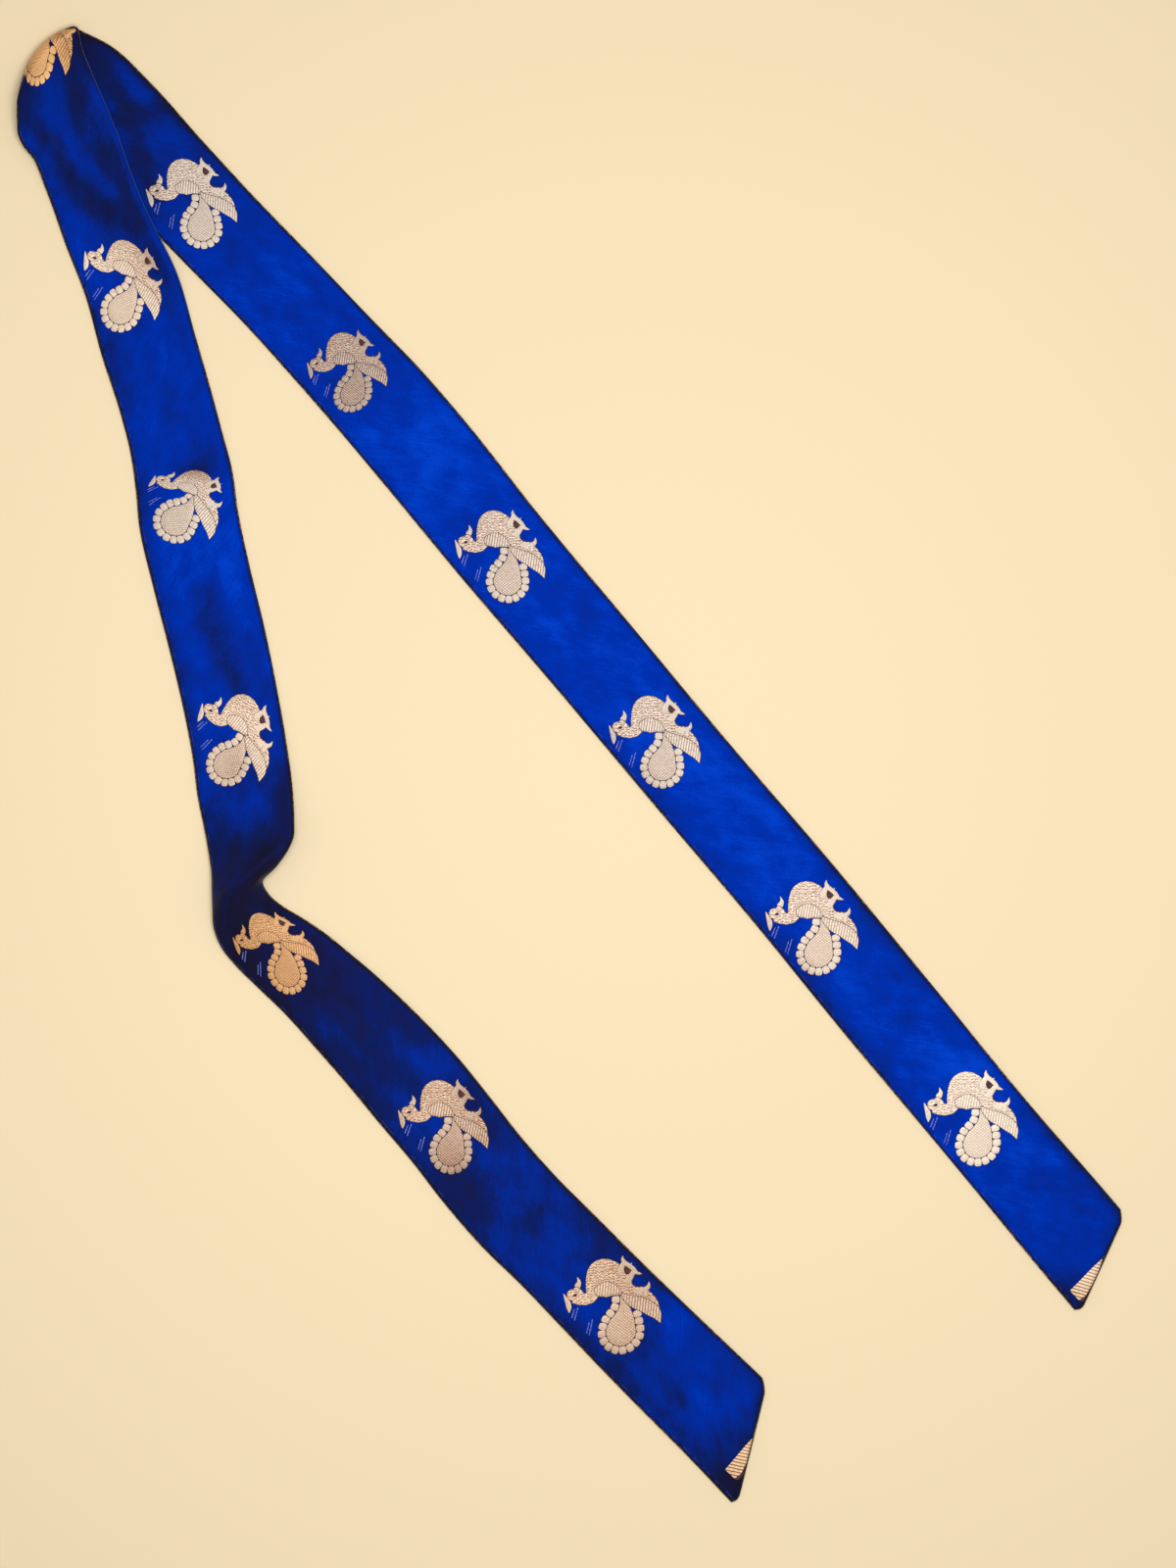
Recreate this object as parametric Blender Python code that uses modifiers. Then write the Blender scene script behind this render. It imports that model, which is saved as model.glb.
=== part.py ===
"""A skinny silk scarf, laid on a table and doubled back on itself in a V.

The scarf is a long narrow tube of two silk panels, the front and the back, pressed flat with
their edges turned in and both ends cut on the slant. It lies as a right tail, a soft rolled
fold at the top, and a left tail that crosses over the right tail, runs down to a sideways bend
where the cloth rises in a diagonal wave, and ends lower left.

Both panels follow one middle surface between them, and that surface is drawn through a table
of sections across the scarf. X is to the right, Y is up the table, Z is up.
"""

import math
from collections import namedtuple

import bmesh
import bpy
import numpy as np

MM = 0.001

# Driving dimensions, in millimetres.
WIDTH = 50.0  # the scarf lying flat, from edge A to edge B
WALL = 1.0  # one panel: the silk, its turned-in allowance and the air pressed in with it
GAP = 0.3  # between the two panels, and between two stretches of one panel
PUFF = 0.5  # how far the panel that lies on top stands off the lower one, along the middle
PUFF_FADE = 60.0  # length over which that changes from one panel to the other at the fold
REST = WALL + GAP / 2  # height of the middle surface where the scarf lies on the table
LAYER = 2 * WALL + GAP + PUFF + GAP  # how far the left tail is lifted by the right tail under it
LAYER_RAMP = 15.0  # width of the slope beside the lower tail's edge

# The slanted ends: edge B runs on past the corner of edge A, and both corners are rounded.
SLANT_RIGHT = 27.3
SLANT_LEFT = 32.5
SLANT_FADE = 90.0  # sections are square to the scarf again this far from the end
CORNER_ACROSS = 5.0
CORNER_ALONG = 3.6

COLUMNS = 8  # divisions across a panel, closer together at its edges
SLOPE_STEP = 0.05  # distance over which the middle surface's slopes are taken

SILK_BLUE = (0.003, 0.030, 0.420, 1.0)
SILK_ROUGHNESS = 0.42

# One row for each section across the scarf, from beyond the right end to beyond the left end.
# a is the edge that is uppermost on the right tail, b the other. x and y are on the table, rise
# is the height above lying flat, arch is how far the middle stands above both edges, bow is how
# far the middle is pushed out sideways, and over is 1 where the scarf lies over its own tail.
Section = namedtuple("Section", "a_x a_y a_rise b_x b_y b_rise arch bow over")

RIGHT_TAIL = [
    Section(309.5, -260.0, 0.0, 268.0, -291.5, 0.0, 0.0, 0.0, 0),
    Section(293.0, -240.0, 0.0, 251.5, -272.0, 0.0, 0.0, 0.0, 0),
    Section(239.5, -178.0, 0.0, 200.5, -210.0, 0.0, 0.0, 0.0, 0),
    Section(188.5, -115.5, 0.0, 148.0, -147.5, 0.0, 0.0, 0.0, 0),
    Section(137.0, -53.0, 0.0, 97.5, -85.5, 0.0, 0.0, 0.0, 0),
    Section(83.5, 9.5, 0.0, 44.5, -23.0, 0.0, 0.0, 0.0, 0),
    Section(31.5, 72.0, 0.0, -8.0, 39.5, 0.0, 0.0, 0.0, 0),
    Section(-20.0, 134.0, 0.0, -61.5, 102.0, 0.0, 0.0, 0.0, 0),
    Section(-53.0, 176.0, 0.0, -94.5, 142.0, 0.0, 0.0, 0.0, 0),
    Section(-79.5, 207.0, 0.0, -120.0, 172.5, 0.0, 0.0, 0.0, 0),
    Section(-109.5, 238.0, 0.0, -146.5, 203.0, 0.0, 0.0, 0.0, 0),
    Section(-139.5, 269.5, 0.0, -174.0, 233.5, 0.0, 0.0, 0.0, 0),
    Section(-169.5, 300.5, 0.0, -204.5, 264.5, 0.0, 0.0, 0.0, 0),
    Section(-198.5, 332.0, 0.0, -235.5, 296.5, 0.0, 0.0, 0.0, 0),
    Section(-224.5, 361.0, 0.0, -260.5, 323.0, 0.0, 0.0, 0.0, 0),
    Section(-246.0, 380.5, 0.0, -278.5, 341.0, 0.0, 0.0, 2.0, 0),
]

# The turn is tight on edge a and opens into a roll on edge b, like the mouth of a cone.
FOLD = [
    Section(-261.9, 388.6, 0.0, -286.6, 349.3, 0.0, 0.0, 5.5, 0),
    Section(-263.0, 389.4, 0.6, -289.8, 351.4, 1.5, 0.0, 7.0, 0),
    Section(-263.5, 389.8, 2.0, -291.7, 351.6, 4.8, 0.0, 7.5, 0),
    Section(-263.0, 389.4, 3.4, -292.4, 349.6, 8.0, 0.5, 7.2, 0),
    Section(-261.9, 388.6, 1.4, -292.8, 346.0, 8.4, 1.0, 6.0, 1),
    Section(-259.5, 378.5, 1.2, -293.0, 341.0, 8.0, 1.5, 3.5, 1),
    Section(-254.0, 364.5, 0.9, -293.0, 334.5, 6.5, 2.0, 1.5, 1),
    Section(-247.5, 349.5, 0.6, -290.5, 327.0, 4.5, 2.0, 0.5, 1),
    Section(-241.0, 333.5, 0.3, -284.5, 319.0, 2.4, 1.5, 0.0, 1),
]

LEFT_TAIL = [
    Section(-235.0, 316.0, 0.0, -279.5, 306.5, 1.0, 1.0, 0.0, 1),
    Section(-228.5, 299.0, 0.0, -274.5, 293.0, 0.2, 0.5, 0.0, 1),
    Section(-221.5, 284.0, 0.0, -269.0, 277.0, 0.0, 0.3, 0.0, 1),
    Section(-209.5, 259.0, 0.0, -257.5, 247.0, 0.0, 0.0, 0.0, 1),
    Section(-200.5, 228.0, 0.0, -249.0, 216.0, 0.0, 0.0, 0.0, 1),
    Section(-191.5, 196.5, 0.0, -239.0, 185.0, 0.0, 0.0, 0.0, 1),
    Section(-186.0, 176.0, 0.0, -234.0, 165.5, 0.0, 0.0, 0.0, 1),
    Section(-180.5, 155.0, 0.0, -231.0, 145.5, 0.0, 0.0, 0.0, 1),
    Section(-177.5, 134.0, 0.0, -229.0, 125.0, 0.0, 0.0, 0.0, 1),
    Section(-171.0, 103.0, 0.0, -221.5, 92.5, 0.0, 0.0, 0.0, 1),
    Section(-163.5, 72.0, 0.0, -213.5, 61.5, 0.0, 0.0, 0.0, 1),
    Section(-157.0, 40.5, 0.3, -206.0, 30.0, 0.0, 0.0, 0.0, 1),
]

# At the bend edge a rises to the crest of the wave, then drops into the inner corner.
BEND = [
    Section(-151.5, 9.5, 1.2, -200.5, 1.0, 0.0, 0.2, 0.0, 1),
    Section(-148.5, -11.5, 3.0, -198.0, -18.5, 0.2, 0.5, 0.0, 1),
    Section(-147.3, -26.5, 6.0, -194.5, -35.5, 0.6, 1.0, 0.0, 1),
    Section(-147.0, -37.0, 8.8, -192.3, -47.0, 1.5, 2.0, 0.0, 1),
    Section(-149.5, -45.0, 10.2, -190.7, -57.5, 2.8, 4.0, 0.0, 1),
    Section(-156.0, -54.5, 8.0, -190.3, -67.5, 3.8, 6.0, 0.0, 1),
    Section(-164.0, -63.5, 3.5, -190.0, -77.0, 3.8, 7.0, 0.0, 1),
    Section(-160.5, -70.5, 1.0, -189.5, -87.0, 2.8, 6.0, 0.0, 1),
    Section(-153.5, -76.5, 0.2, -186.0, -97.0, 1.5, 4.0, 0.0, 1),
    Section(-143.5, -82.5, 0.4, -178.5, -107.0, 0.6, 2.4, 0.0, 1),
    Section(-131.5, -90.5, 0.8, -166.0, -119.5, 0.0, 1.2, 0.0, 1),
]

LEFT_END = [
    Section(-118.5, -101.0, 1.0, -152.5, -132.5, 0.0, 0.6, 0.0, 1),
    Section(-101.5, -115.5, 0.8, -135.0, -152.0, 0.0, 0.3, 0.0, 1),
    Section(-80.0, -136.0, 0.3, -118.0, -171.5, 0.0, 0.0, 0.0, 1),
    Section(-60.5, -157.0, 0.0, -101.5, -191.5, 0.0, 0.0, 0.0, 1),
    Section(-43.5, -178.0, 0.0, -84.5, -211.5, 0.0, 0.0, 0.0, 1),
    Section(-27.5, -198.5, 0.0, -67.5, -233.5, 0.0, 0.0, 0.0, 1),
    Section(-9.0, -219.5, 0.0, -48.0, -256.0, 0.0, 0.0, 0.0, 1),
    Section(11.5, -240.0, 0.0, -26.0, -277.5, 0.0, 0.0, 0.0, 1),
    Section(32.5, -261.0, 0.0, -5.0, -299.5, 0.0, 0.0, 0.0, 1),
    Section(54.0, -282.0, 0.0, 15.5, -321.0, 0.0, 0.0, 0.0, 1),
    Section(75.5, -302.5, 0.0, 37.0, -343.0, 0.0, 0.0, 0.0, 1),
    Section(97.5, -323.5, 0.0, 59.0, -365.0, 0.0, 0.0, 0.0, 1),
    Section(119.5, -345.0, 0.0, 80.5, -387.5, 0.0, 0.0, 0.0, 1),
    Section(141.0, -366.0, 0.0, 101.5, -410.0, 0.0, 0.0, 0.0, 1),
]

SECTIONS = RIGHT_TAIL + FOLD + LEFT_TAIL + BEND + LEFT_END

# Soft folds that run along the scarf beside the roll: a ridge from (x, y) to (to_x, to_y).
Crease = namedtuple("Crease", "x y to_x to_y width height")
CREASES = [
    Crease(-279.0, 362.0, -258.0, 296.0, 9.0, 2.4),
    Crease(-262.0, 372.0, -236.0, 300.0, 7.0, 1.6),
]

# The edge of the right tail that the left tail lies across, as a line on the table.
LOWER_EDGE_POINT = (-217.5, 277.0)
LOWER_EDGE_DIRECTION = (-0.690, 0.724)

# A row for each stretch that shows: where it ends, as an index into SECTIONS, and how far apart
# the rows of its mesh are.
Stretch = namedtuple("Stretch", "name first last step")
FOLD_AT = len(RIGHT_TAIL)
LEFT_AT = FOLD_AT + len(FOLD)
BEND_AT = LEFT_AT + len(LEFT_TAIL)
END_AT = BEND_AT + len(BEND)
STRETCHES = [
    Stretch("right_tail", 1, FOLD_AT - 1, 21.0),
    Stretch("fold", FOLD_AT - 1, LEFT_AT, 2.8),
    Stretch("left_tail", LEFT_AT, BEND_AT, 8.0),
    Stretch("bend", BEND_AT, END_AT - 1, 5.5),
    Stretch("left_end", END_AT - 1, len(SECTIONS) - 1, 15.0),
]
LEFT_CORNER = (102.7, -329.7)  # where edge a ends at the left end


def smooth_step(value):
    """0 below 0, 1 above 1, and an S curve between."""
    value = np.clip(value, 0.0, 1.0)
    return value * value * (3.0 - 2.0 * value)


def lengths_along():
    """How far along the cloth each section lies, as the mean of its two edges."""
    table = np.array(SECTIONS)
    total = np.zeros(len(table))
    for column in (0, 3):
        steps = np.linalg.norm(np.diff(table[:, column : column + 3], axis=0), axis=1)
        total[1:] += np.cumsum(steps) / 2
    return table, total


TABLE, ALONG = lengths_along()


def sections_at(along):
    """The table's columns at any distance along, on smooth curves through its rows."""
    steps = np.diff(ALONG)[:, None]
    slopes = np.diff(TABLE, axis=0) / steps
    tangents = np.empty_like(TABLE)
    tangents[0], tangents[-1] = slopes[0], slopes[-1]
    tangents[1:-1] = (slopes[:-1] * steps[1:] + slopes[1:] * steps[:-1]) / (steps[:-1] + steps[1:])
    tangents[1:-1][slopes[:-1] * slopes[1:] <= 0] = 0  # no overshoot past a highest or lowest row
    row = np.clip(np.searchsorted(ALONG, along) - 1, 0, len(ALONG) - 2)
    step = (ALONG[row + 1] - ALONG[row])[..., None]
    t = (along - ALONG[row])[..., None] / step
    start = (1 + 2 * t) * (1 - t) ** 2 * TABLE[row] + t * (1 - t) ** 2 * step * tangents[row]
    end = t * t * (3 - 2 * t) * TABLE[row + 1] + t * t * (t - 1) * step * tangents[row + 1]
    return start + end


def lifted_by_lower_tail(x, y):
    """How far the right tail lifts what lies on it at (x, y), with a slope beside its edge."""
    inward = (x - LOWER_EDGE_POINT[0]) * LOWER_EDGE_DIRECTION[1]
    inward -= (y - LOWER_EDGE_POINT[1]) * LOWER_EDGE_DIRECTION[0]
    return LAYER * smooth_step((inward + LAYER_RAMP) / LAYER_RAMP)


def crease_height(x, y, crease):
    """The height that one soft ridge adds at (x, y), fading at both its ends."""
    run = np.array([crease.to_x - crease.x, crease.to_y - crease.y])
    length = np.linalg.norm(run)
    along = ((x - crease.x) * run[0] + (y - crease.y) * run[1]) / length
    across = ((x - crease.x) * run[1] - (y - crease.y) * run[0]) / length
    fade = np.sin(np.pi * np.clip(along / length, 0.0, 1.0)) ** 2
    return crease.height * fade * np.exp(-((across / (crease.width / 2)) ** 2))


def middle_surface(along, across):
    """Points midway between the two panels; across runs from 0 on edge a to 1 on edge b."""
    a_x, a_y, a_rise, b_x, b_y, b_rise, arch, bow, over = np.moveaxis(sections_at(along), -1, 0)
    middle = 4.0 * across * (1.0 - across)
    chord = np.hypot(b_x - a_x, b_y - a_y)
    x = a_x + (b_x - a_x) * across + bow * middle * (b_y - a_y) / chord
    y = a_y + (b_y - a_y) * across - bow * middle * (b_x - a_x) / chord
    rise = a_rise + (b_rise - a_rise) * across + arch * middle
    lying = over * lifted_by_lower_tail(x, y)
    folds = over * sum(crease_height(x, y, crease) for crease in CREASES)
    return np.stack([x, y, REST + rise + lying + folds], axis=-1)


def front_normals(along, across):
    """Unit vectors out of the front panel; they point up on the right tail, down on the left."""
    ahead, aside = SLOPE_STEP, SLOPE_STEP / WIDTH
    run = middle_surface(along + ahead, across) - middle_surface(along - ahead, across)
    span = middle_surface(along, across + aside) - middle_surface(along, across - aside)
    normal = np.cross(run, span)
    return normal / np.linalg.norm(normal, axis=-1, keepdims=True)


def slanted(along, across, ends):
    """Moves the rows near the two ends on to the slanted cuts with their rounded corners."""
    first, last = ends
    from_corner = np.minimum(across, 1.0 - across) * WIDTH
    rounded = CORNER_ALONG * np.clip(1.0 - from_corner / CORNER_ACROSS, 0.0, 1.0) ** 2
    near_first = np.clip(1.0 - (along - first) / SLANT_FADE, 0.0, 1.0) ** 2
    near_last = np.clip(1.0 - (last - along) / SLANT_FADE, 0.0, 1.0) ** 2
    moved = along - near_first * (SLANT_RIGHT * across - rounded)
    return moved + near_last * (SLANT_LEFT * across - rounded)


def ends_of_scarf():
    """Where edge a ends at the right and at the left, as distances along."""
    edge = middle_surface(ALONG, np.zeros_like(ALONG))[:, :2]
    row = int(np.argmin(np.hypot(*(edge - LEFT_CORNER).T)))
    beyond = np.linalg.norm(np.array(LEFT_CORNER) - edge[row])
    return ALONG[1], ALONG[row] + beyond


def upper_share(along, side):
    """1 where this side of the scarf faces up, 0 where it faces down, with a soft change."""
    before_fold, in_fold = ALONG[FOLD_AT - 4], ALONG[FOLD_AT + 2]
    if side > 0:
        return 1.0 - smooth_step((along - before_fold) / PUFF_FADE)
    return smooth_step((along - in_fold) / PUFF_FADE)


def panel_grid(stretch, side, ends):
    """One panel's stretch: rows and columns of points on its inner face, and its wall's way out."""
    first = ends[0] if stretch.first == 1 else ALONG[stretch.first] + GAP / 2
    last = ends[1] if stretch.last == len(SECTIONS) - 1 else ALONG[stretch.last] - GAP / 2
    rows = max(2, round((last - first) / stretch.step)) + 1
    columns = (1.0 - np.cos(np.linspace(0.0, math.pi, COLUMNS + 1))) / 2.0
    along, across = np.meshgrid(np.linspace(first, last, rows), columns, indexing="ij")
    along = slanted(along, across, ends)
    stand_off = GAP / 2 + PUFF * 4.0 * across * (1.0 - across) * upper_share(along, side)
    outward = side * front_normals(along, across)
    return middle_surface(along, across) + stand_off[..., None] * outward, outward


def silk():
    """Royal blue woven silk: a soft, slightly glossy cloth."""
    material = bpy.data.materials.new("royal_blue_silk")
    material.use_nodes = True
    shader = material.node_tree.nodes["Principled BSDF"]
    shader.inputs["Base Color"].default_value = SILK_BLUE
    shader.inputs["Roughness"].default_value = SILK_ROUGHNESS
    shader.inputs["Metallic"].default_value = 0.0
    return material


def panel(name, points, side, material, collection):
    """One panel's stretch: an open surface of rows and columns, given its wall by Solidify."""
    shape = bmesh.new()
    corners = [[shape.verts.new(point * MM) for point in row] for row in points]
    for near, far in zip(corners[:-1], corners[1:]):
        for i in range(len(near) - 1):
            face = [near[i], near[i + 1], far[i + 1], far[i]]
            shape.faces.new(face[::-1] if side > 0 else face)
    mesh = bpy.data.meshes.new(name)
    shape.to_mesh(mesh)
    shape.free()
    mesh.shade_smooth()
    mesh.materials.append(material)
    made = bpy.data.objects.new(name, mesh)
    collection.objects.link(made)
    wall = made.modifiers.new("wall", "SOLIDIFY")
    wall.thickness = WALL * MM
    wall.offset = 1.0
    return made


def scarf():
    """Both panels of every stretch, centred over the table's origin."""
    collection = bpy.data.collections.new("skinny_silk_scarf")
    bpy.context.scene.collection.children.link(collection)
    material = silk()
    ends = ends_of_scarf()
    grids = {}
    for stretch in STRETCHES:
        for cut, side in (("front", 1), ("back", -1)):
            grids[f"{cut}_{stretch.name}"] = (*panel_grid(stretch, side, ends), side)
    outside = [(points + WALL * outward).reshape(-1, 3) for points, outward, _ in grids.values()]
    outside = np.concatenate(outside)
    centre = (outside.min(axis=0) + outside.max(axis=0)) / 2 * (1, 1, 0)
    for name, (points, _, side) in grids.items():
        panel(name, points - centre, side, material, collection)


for leftover in list(bpy.data.objects):
    bpy.data.objects.remove(leftover)
scarf()
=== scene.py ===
"""A skinny silk scarf laid in a V on a table: silk panels, woven zari peacocks, edge thread.

The cloth follows the same middle surface as the solids: a table of sections across the scarf,
in millimetres on the table, with smooth curves through its rows.
"""

import math
from collections import namedtuple
from functools import partial

import bpy
import numpy as np
from bpy.props import FloatProperty, FloatVectorProperty, PointerProperty
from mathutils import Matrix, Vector, geometry

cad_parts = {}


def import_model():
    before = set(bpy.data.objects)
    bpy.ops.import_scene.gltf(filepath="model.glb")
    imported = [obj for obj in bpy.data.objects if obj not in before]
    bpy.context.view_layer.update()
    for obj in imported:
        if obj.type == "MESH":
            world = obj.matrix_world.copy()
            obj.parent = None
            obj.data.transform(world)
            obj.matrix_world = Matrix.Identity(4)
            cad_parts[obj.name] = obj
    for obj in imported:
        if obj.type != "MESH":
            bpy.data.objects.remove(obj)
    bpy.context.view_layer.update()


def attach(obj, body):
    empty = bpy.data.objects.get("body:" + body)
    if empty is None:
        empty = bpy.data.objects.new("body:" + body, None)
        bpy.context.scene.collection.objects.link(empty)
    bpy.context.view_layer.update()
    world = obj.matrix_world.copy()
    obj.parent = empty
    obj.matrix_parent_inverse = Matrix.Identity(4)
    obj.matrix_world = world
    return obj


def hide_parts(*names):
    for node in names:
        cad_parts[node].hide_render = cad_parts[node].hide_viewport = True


bl_info = {
    "name": "Skinny silk scarf",
    "version": (1, 0, 0),
    "blender": (4, 5, 0),
    "location": "3D View > Sidebar > Scarf",
    "description": "Silk panels, woven peacocks and edge thread of a skinny scarf laid in a V",
    "category": "Add Mesh",
}

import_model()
MM = 0.001

# ---- the lay of the cloth, in mm

CENTRE = (-1.321, -0.569)  # the middle of the scarf's box in the table's coordinates
WIDTH = 50.0
REST = 1.15  # height of the middle surface where the scarf lies on the table
LAYER = 3.1  # how far the left tail is lifted by the right tail under it
LAYER_RAMP = 15.0
HALF_THICK = 0.88  # from the middle surface to a panel's face
EDGE_ROUND = 2.2  # how far in from the pressed edge that face starts to curve down
EDGE_PART = 0.06  # what is left between the two panels at the seam
PUFF = 0.62
PUFF_FADE = 60.0
SLANT_RIGHT = 27.3
SLANT_LEFT = 32.5
SLANT_FADE = 90.0
CORNER_ACROSS = 5.0
CORNER_ALONG = 3.6
SLOPE_STEP = 0.05  # for measuring the surface's slopes


def table_of(kind, *rows):
    """Named rows from bare ones."""
    return [kind(*row) for row in rows]


# a is the edge that is uppermost on the right tail, b the other. x and y are on the table, rise
# is the height above lying flat, arch is how far the middle stands above both edges, and bow is
# how far the middle is pushed out sideways.
Section = namedtuple("Section", "a_x a_y b_x b_y a_rise b_rise arch bow", defaults=(0,) * 4)

RIGHT_TAIL = table_of(
    Section,
    (309.5, -260, 268, -291.5), (293, -240, 251.5, -272), (239.5, -178, 200.5, -210),
    (188.5, -115.5, 148, -147.5), (137, -53, 97.5, -85.5), (83.5, 9.5, 44.5, -23),
    (31.5, 72, -8, 39.5), (-20, 134, -61.5, 102), (-53, 176, -94.5, 142), (-79.5, 207, -120, 172.5),
    (-109.5, 238, -146.5, 203), (-139.5, 269.5, -174, 233.5), (-169.5, 300.5, -204.5, 264.5),
    (-198.5, 332, -235.5, 296.5), (-224.5, 361, -260.5, 323),
    (-246, 380.5, -278.5, 341, 0, 0, 0, 2),
)
FOLD = table_of(
    Section,
    (-261.9, 388.6, -286.6, 349.3, 0, 0, 0, 5.5), (-263, 389.4, -289.8, 351.4, 0.6, 1.5, 0, 7),
    (-263.5, 389.8, -291.7, 351.6, 2, 4.8, 0, 7.5), (-263, 389.4, -292.4, 349.6, 3.4, 8, 0.5, 7.2),
    (-261.9, 388.6, -292.8, 346, 1.4, 8.4, 1, 6), (-259.5, 378.5, -293, 341, 1.2, 8, 1.5, 3.5),
    (-254, 364.5, -293, 334.5, 0.9, 6.5, 2, 1.5), (-247.5, 349.5, -290.5, 327, 0.6, 4.5, 2, 0.5),
    (-241, 333.5, -284.5, 319, 0.3, 2.4, 1.5),
)
LEFT_TAIL = table_of(
    Section,
    (-235, 316, -279.5, 306.5, 0, 1, 1), (-228.5, 299, -274.5, 293, 0, 0.2, 0.5),
    (-221.5, 284, -269, 277, 0, 0, 0.3), (-209.5, 259, -257.5, 247), (-200.5, 228, -249, 216),
    (-191.5, 196.5, -239, 185), (-186, 176, -234, 165.5), (-180.5, 155, -231, 145.5),
    (-177.5, 134, -229, 125), (-171, 103, -221.5, 92.5), (-163.5, 72, -213.5, 61.5),
    (-157, 40.5, -206, 30, 0.3),
)
BEND = table_of(
    Section,
    (-151.5, 9.5, -200.5, 1, 1.2, 0, 0.2), (-148.5, -11.5, -198, -18.5, 3, 0.2, 0.5),
    (-147.3, -26.5, -194.5, -35.5, 6, 0.6, 1), (-147, -37, -192.3, -47, 8.8, 1.5, 2),
    (-149.5, -45, -190.7, -57.5, 10.2, 2.8, 4), (-156, -54.5, -190.3, -67.5, 8, 3.8, 6),
    (-164, -63.5, -190, -77, 3.5, 3.8, 7), (-160.5, -70.5, -189.5, -87, 1, 2.8, 6),
    (-153.5, -76.5, -186, -97, 0.2, 1.5, 4), (-143.5, -82.5, -178.5, -107, 0.4, 0.6, 2.4),
    (-131.5, -90.5, -166, -119.5, 0.8, 0, 1.2),
)
LEFT_END = table_of(
    Section,
    (-118.5, -101, -152.5, -132.5, 1, 0, 0.6), (-101.5, -115.5, -135, -152, 0.8, 0, 0.3),
    (-80, -136, -118, -171.5, 0.3), (-60.5, -157, -101.5, -191.5), (-43.5, -178, -84.5, -211.5),
    (-27.5, -198.5, -67.5, -233.5), (-9, -219.5, -48, -256), (11.5, -240, -26, -277.5),
    (32.5, -261, -5, -299.5), (54, -282, 15.5, -321), (75.5, -302.5, 37, -343),
    (97.5, -323.5, 59, -365), (119.5, -345, 80.5, -387.5), (141, -366, 101.5, -410),
)
SECTIONS = RIGHT_TAIL + FOLD + LEFT_TAIL + BEND + LEFT_END
FOLD_AT = len(RIGHT_TAIL)
TURNED_AT = FOLD_AT + 4  # from this section on, the scarf lies over its own tail
LEFT_AT = FOLD_AT + len(FOLD)
BEND_AT = LEFT_AT + len(LEFT_TAIL)
END_AT = BEND_AT + len(BEND)
LEFT_CORNER = (102.7, -329.7)

# Soft ridges on the table from (x, y) to (to_x, to_y).
Crease = namedtuple("Crease", "x y to_x to_y width height")
CREASES = table_of(Crease, (-279, 362, -258, 296, 9, 2.4), (-262, 372, -236, 300, 7, 1.6))
LOWER_EDGE_POINT = (-217.5, 277.0)
LOWER_EDGE_DIRECTION = (-0.690, 0.724)


def smooth_step(value):
    """0 below 0, 1 above 1, and an S curve between."""
    value = np.clip(value, 0.0, 1.0)
    return value * value * (3.0 - 2.0 * value)


def lengths_along():
    """The sections, with a last column for lying over the other tail, and how far along the
    cloth each one is, as the mean of its two edges."""
    over = np.arange(len(SECTIONS)) >= TURNED_AT
    table = np.column_stack([SECTIONS, over])
    total = np.zeros(len(table))
    for edge in ([0, 1, 4], [2, 3, 5]):
        steps = np.linalg.norm(np.diff(table[:, edge], axis=0), axis=1)
        total[1:] += np.cumsum(steps) / 2
    return table, total


TABLE, ALONG = lengths_along()


def sections_at(along):
    """The table's columns at any distance along, on smooth curves through its rows."""
    steps = np.diff(ALONG)[:, None]
    slopes = np.diff(TABLE, axis=0) / steps
    tangents = np.empty_like(TABLE)
    tangents[0], tangents[-1] = slopes[0], slopes[-1]
    tangents[1:-1] = (slopes[:-1] * steps[1:] + slopes[1:] * steps[:-1]) / (steps[:-1] + steps[1:])
    tangents[1:-1][slopes[:-1] * slopes[1:] <= 0] = 0  # no overshoot past a highest or lowest row
    row = np.clip(np.searchsorted(ALONG, along) - 1, 0, len(ALONG) - 2)
    step = (ALONG[row + 1] - ALONG[row])[..., None]
    t = (along - ALONG[row])[..., None] / step
    start = (1 + 2 * t) * (1 - t) ** 2 * TABLE[row] + t * (1 - t) ** 2 * step * tangents[row]
    end = t * t * (3 - 2 * t) * TABLE[row + 1] + t * t * (t - 1) * step * tangents[row + 1]
    return start + end


def lifted_by_lower_tail(x, y):
    """How far the right tail lifts what lies on it at (x, y), with a slope beside its edge."""
    inward = (x - LOWER_EDGE_POINT[0]) * LOWER_EDGE_DIRECTION[1]
    inward -= (y - LOWER_EDGE_POINT[1]) * LOWER_EDGE_DIRECTION[0]
    return LAYER * smooth_step((inward + LAYER_RAMP) / LAYER_RAMP)


def crease_height(x, y, crease):
    """The height that one soft ridge adds at (x, y), fading at both its ends."""
    run = np.array([crease.to_x - crease.x, crease.to_y - crease.y])
    length = np.linalg.norm(run)
    along = ((x - crease.x) * run[0] + (y - crease.y) * run[1]) / length
    across = ((x - crease.x) * run[1] - (y - crease.y) * run[0]) / length
    fade = np.sin(np.pi * np.clip(along / length, 0.0, 1.0)) ** 2
    return crease.height * fade * np.exp(-((across / (crease.width / 2)) ** 2))


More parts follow.
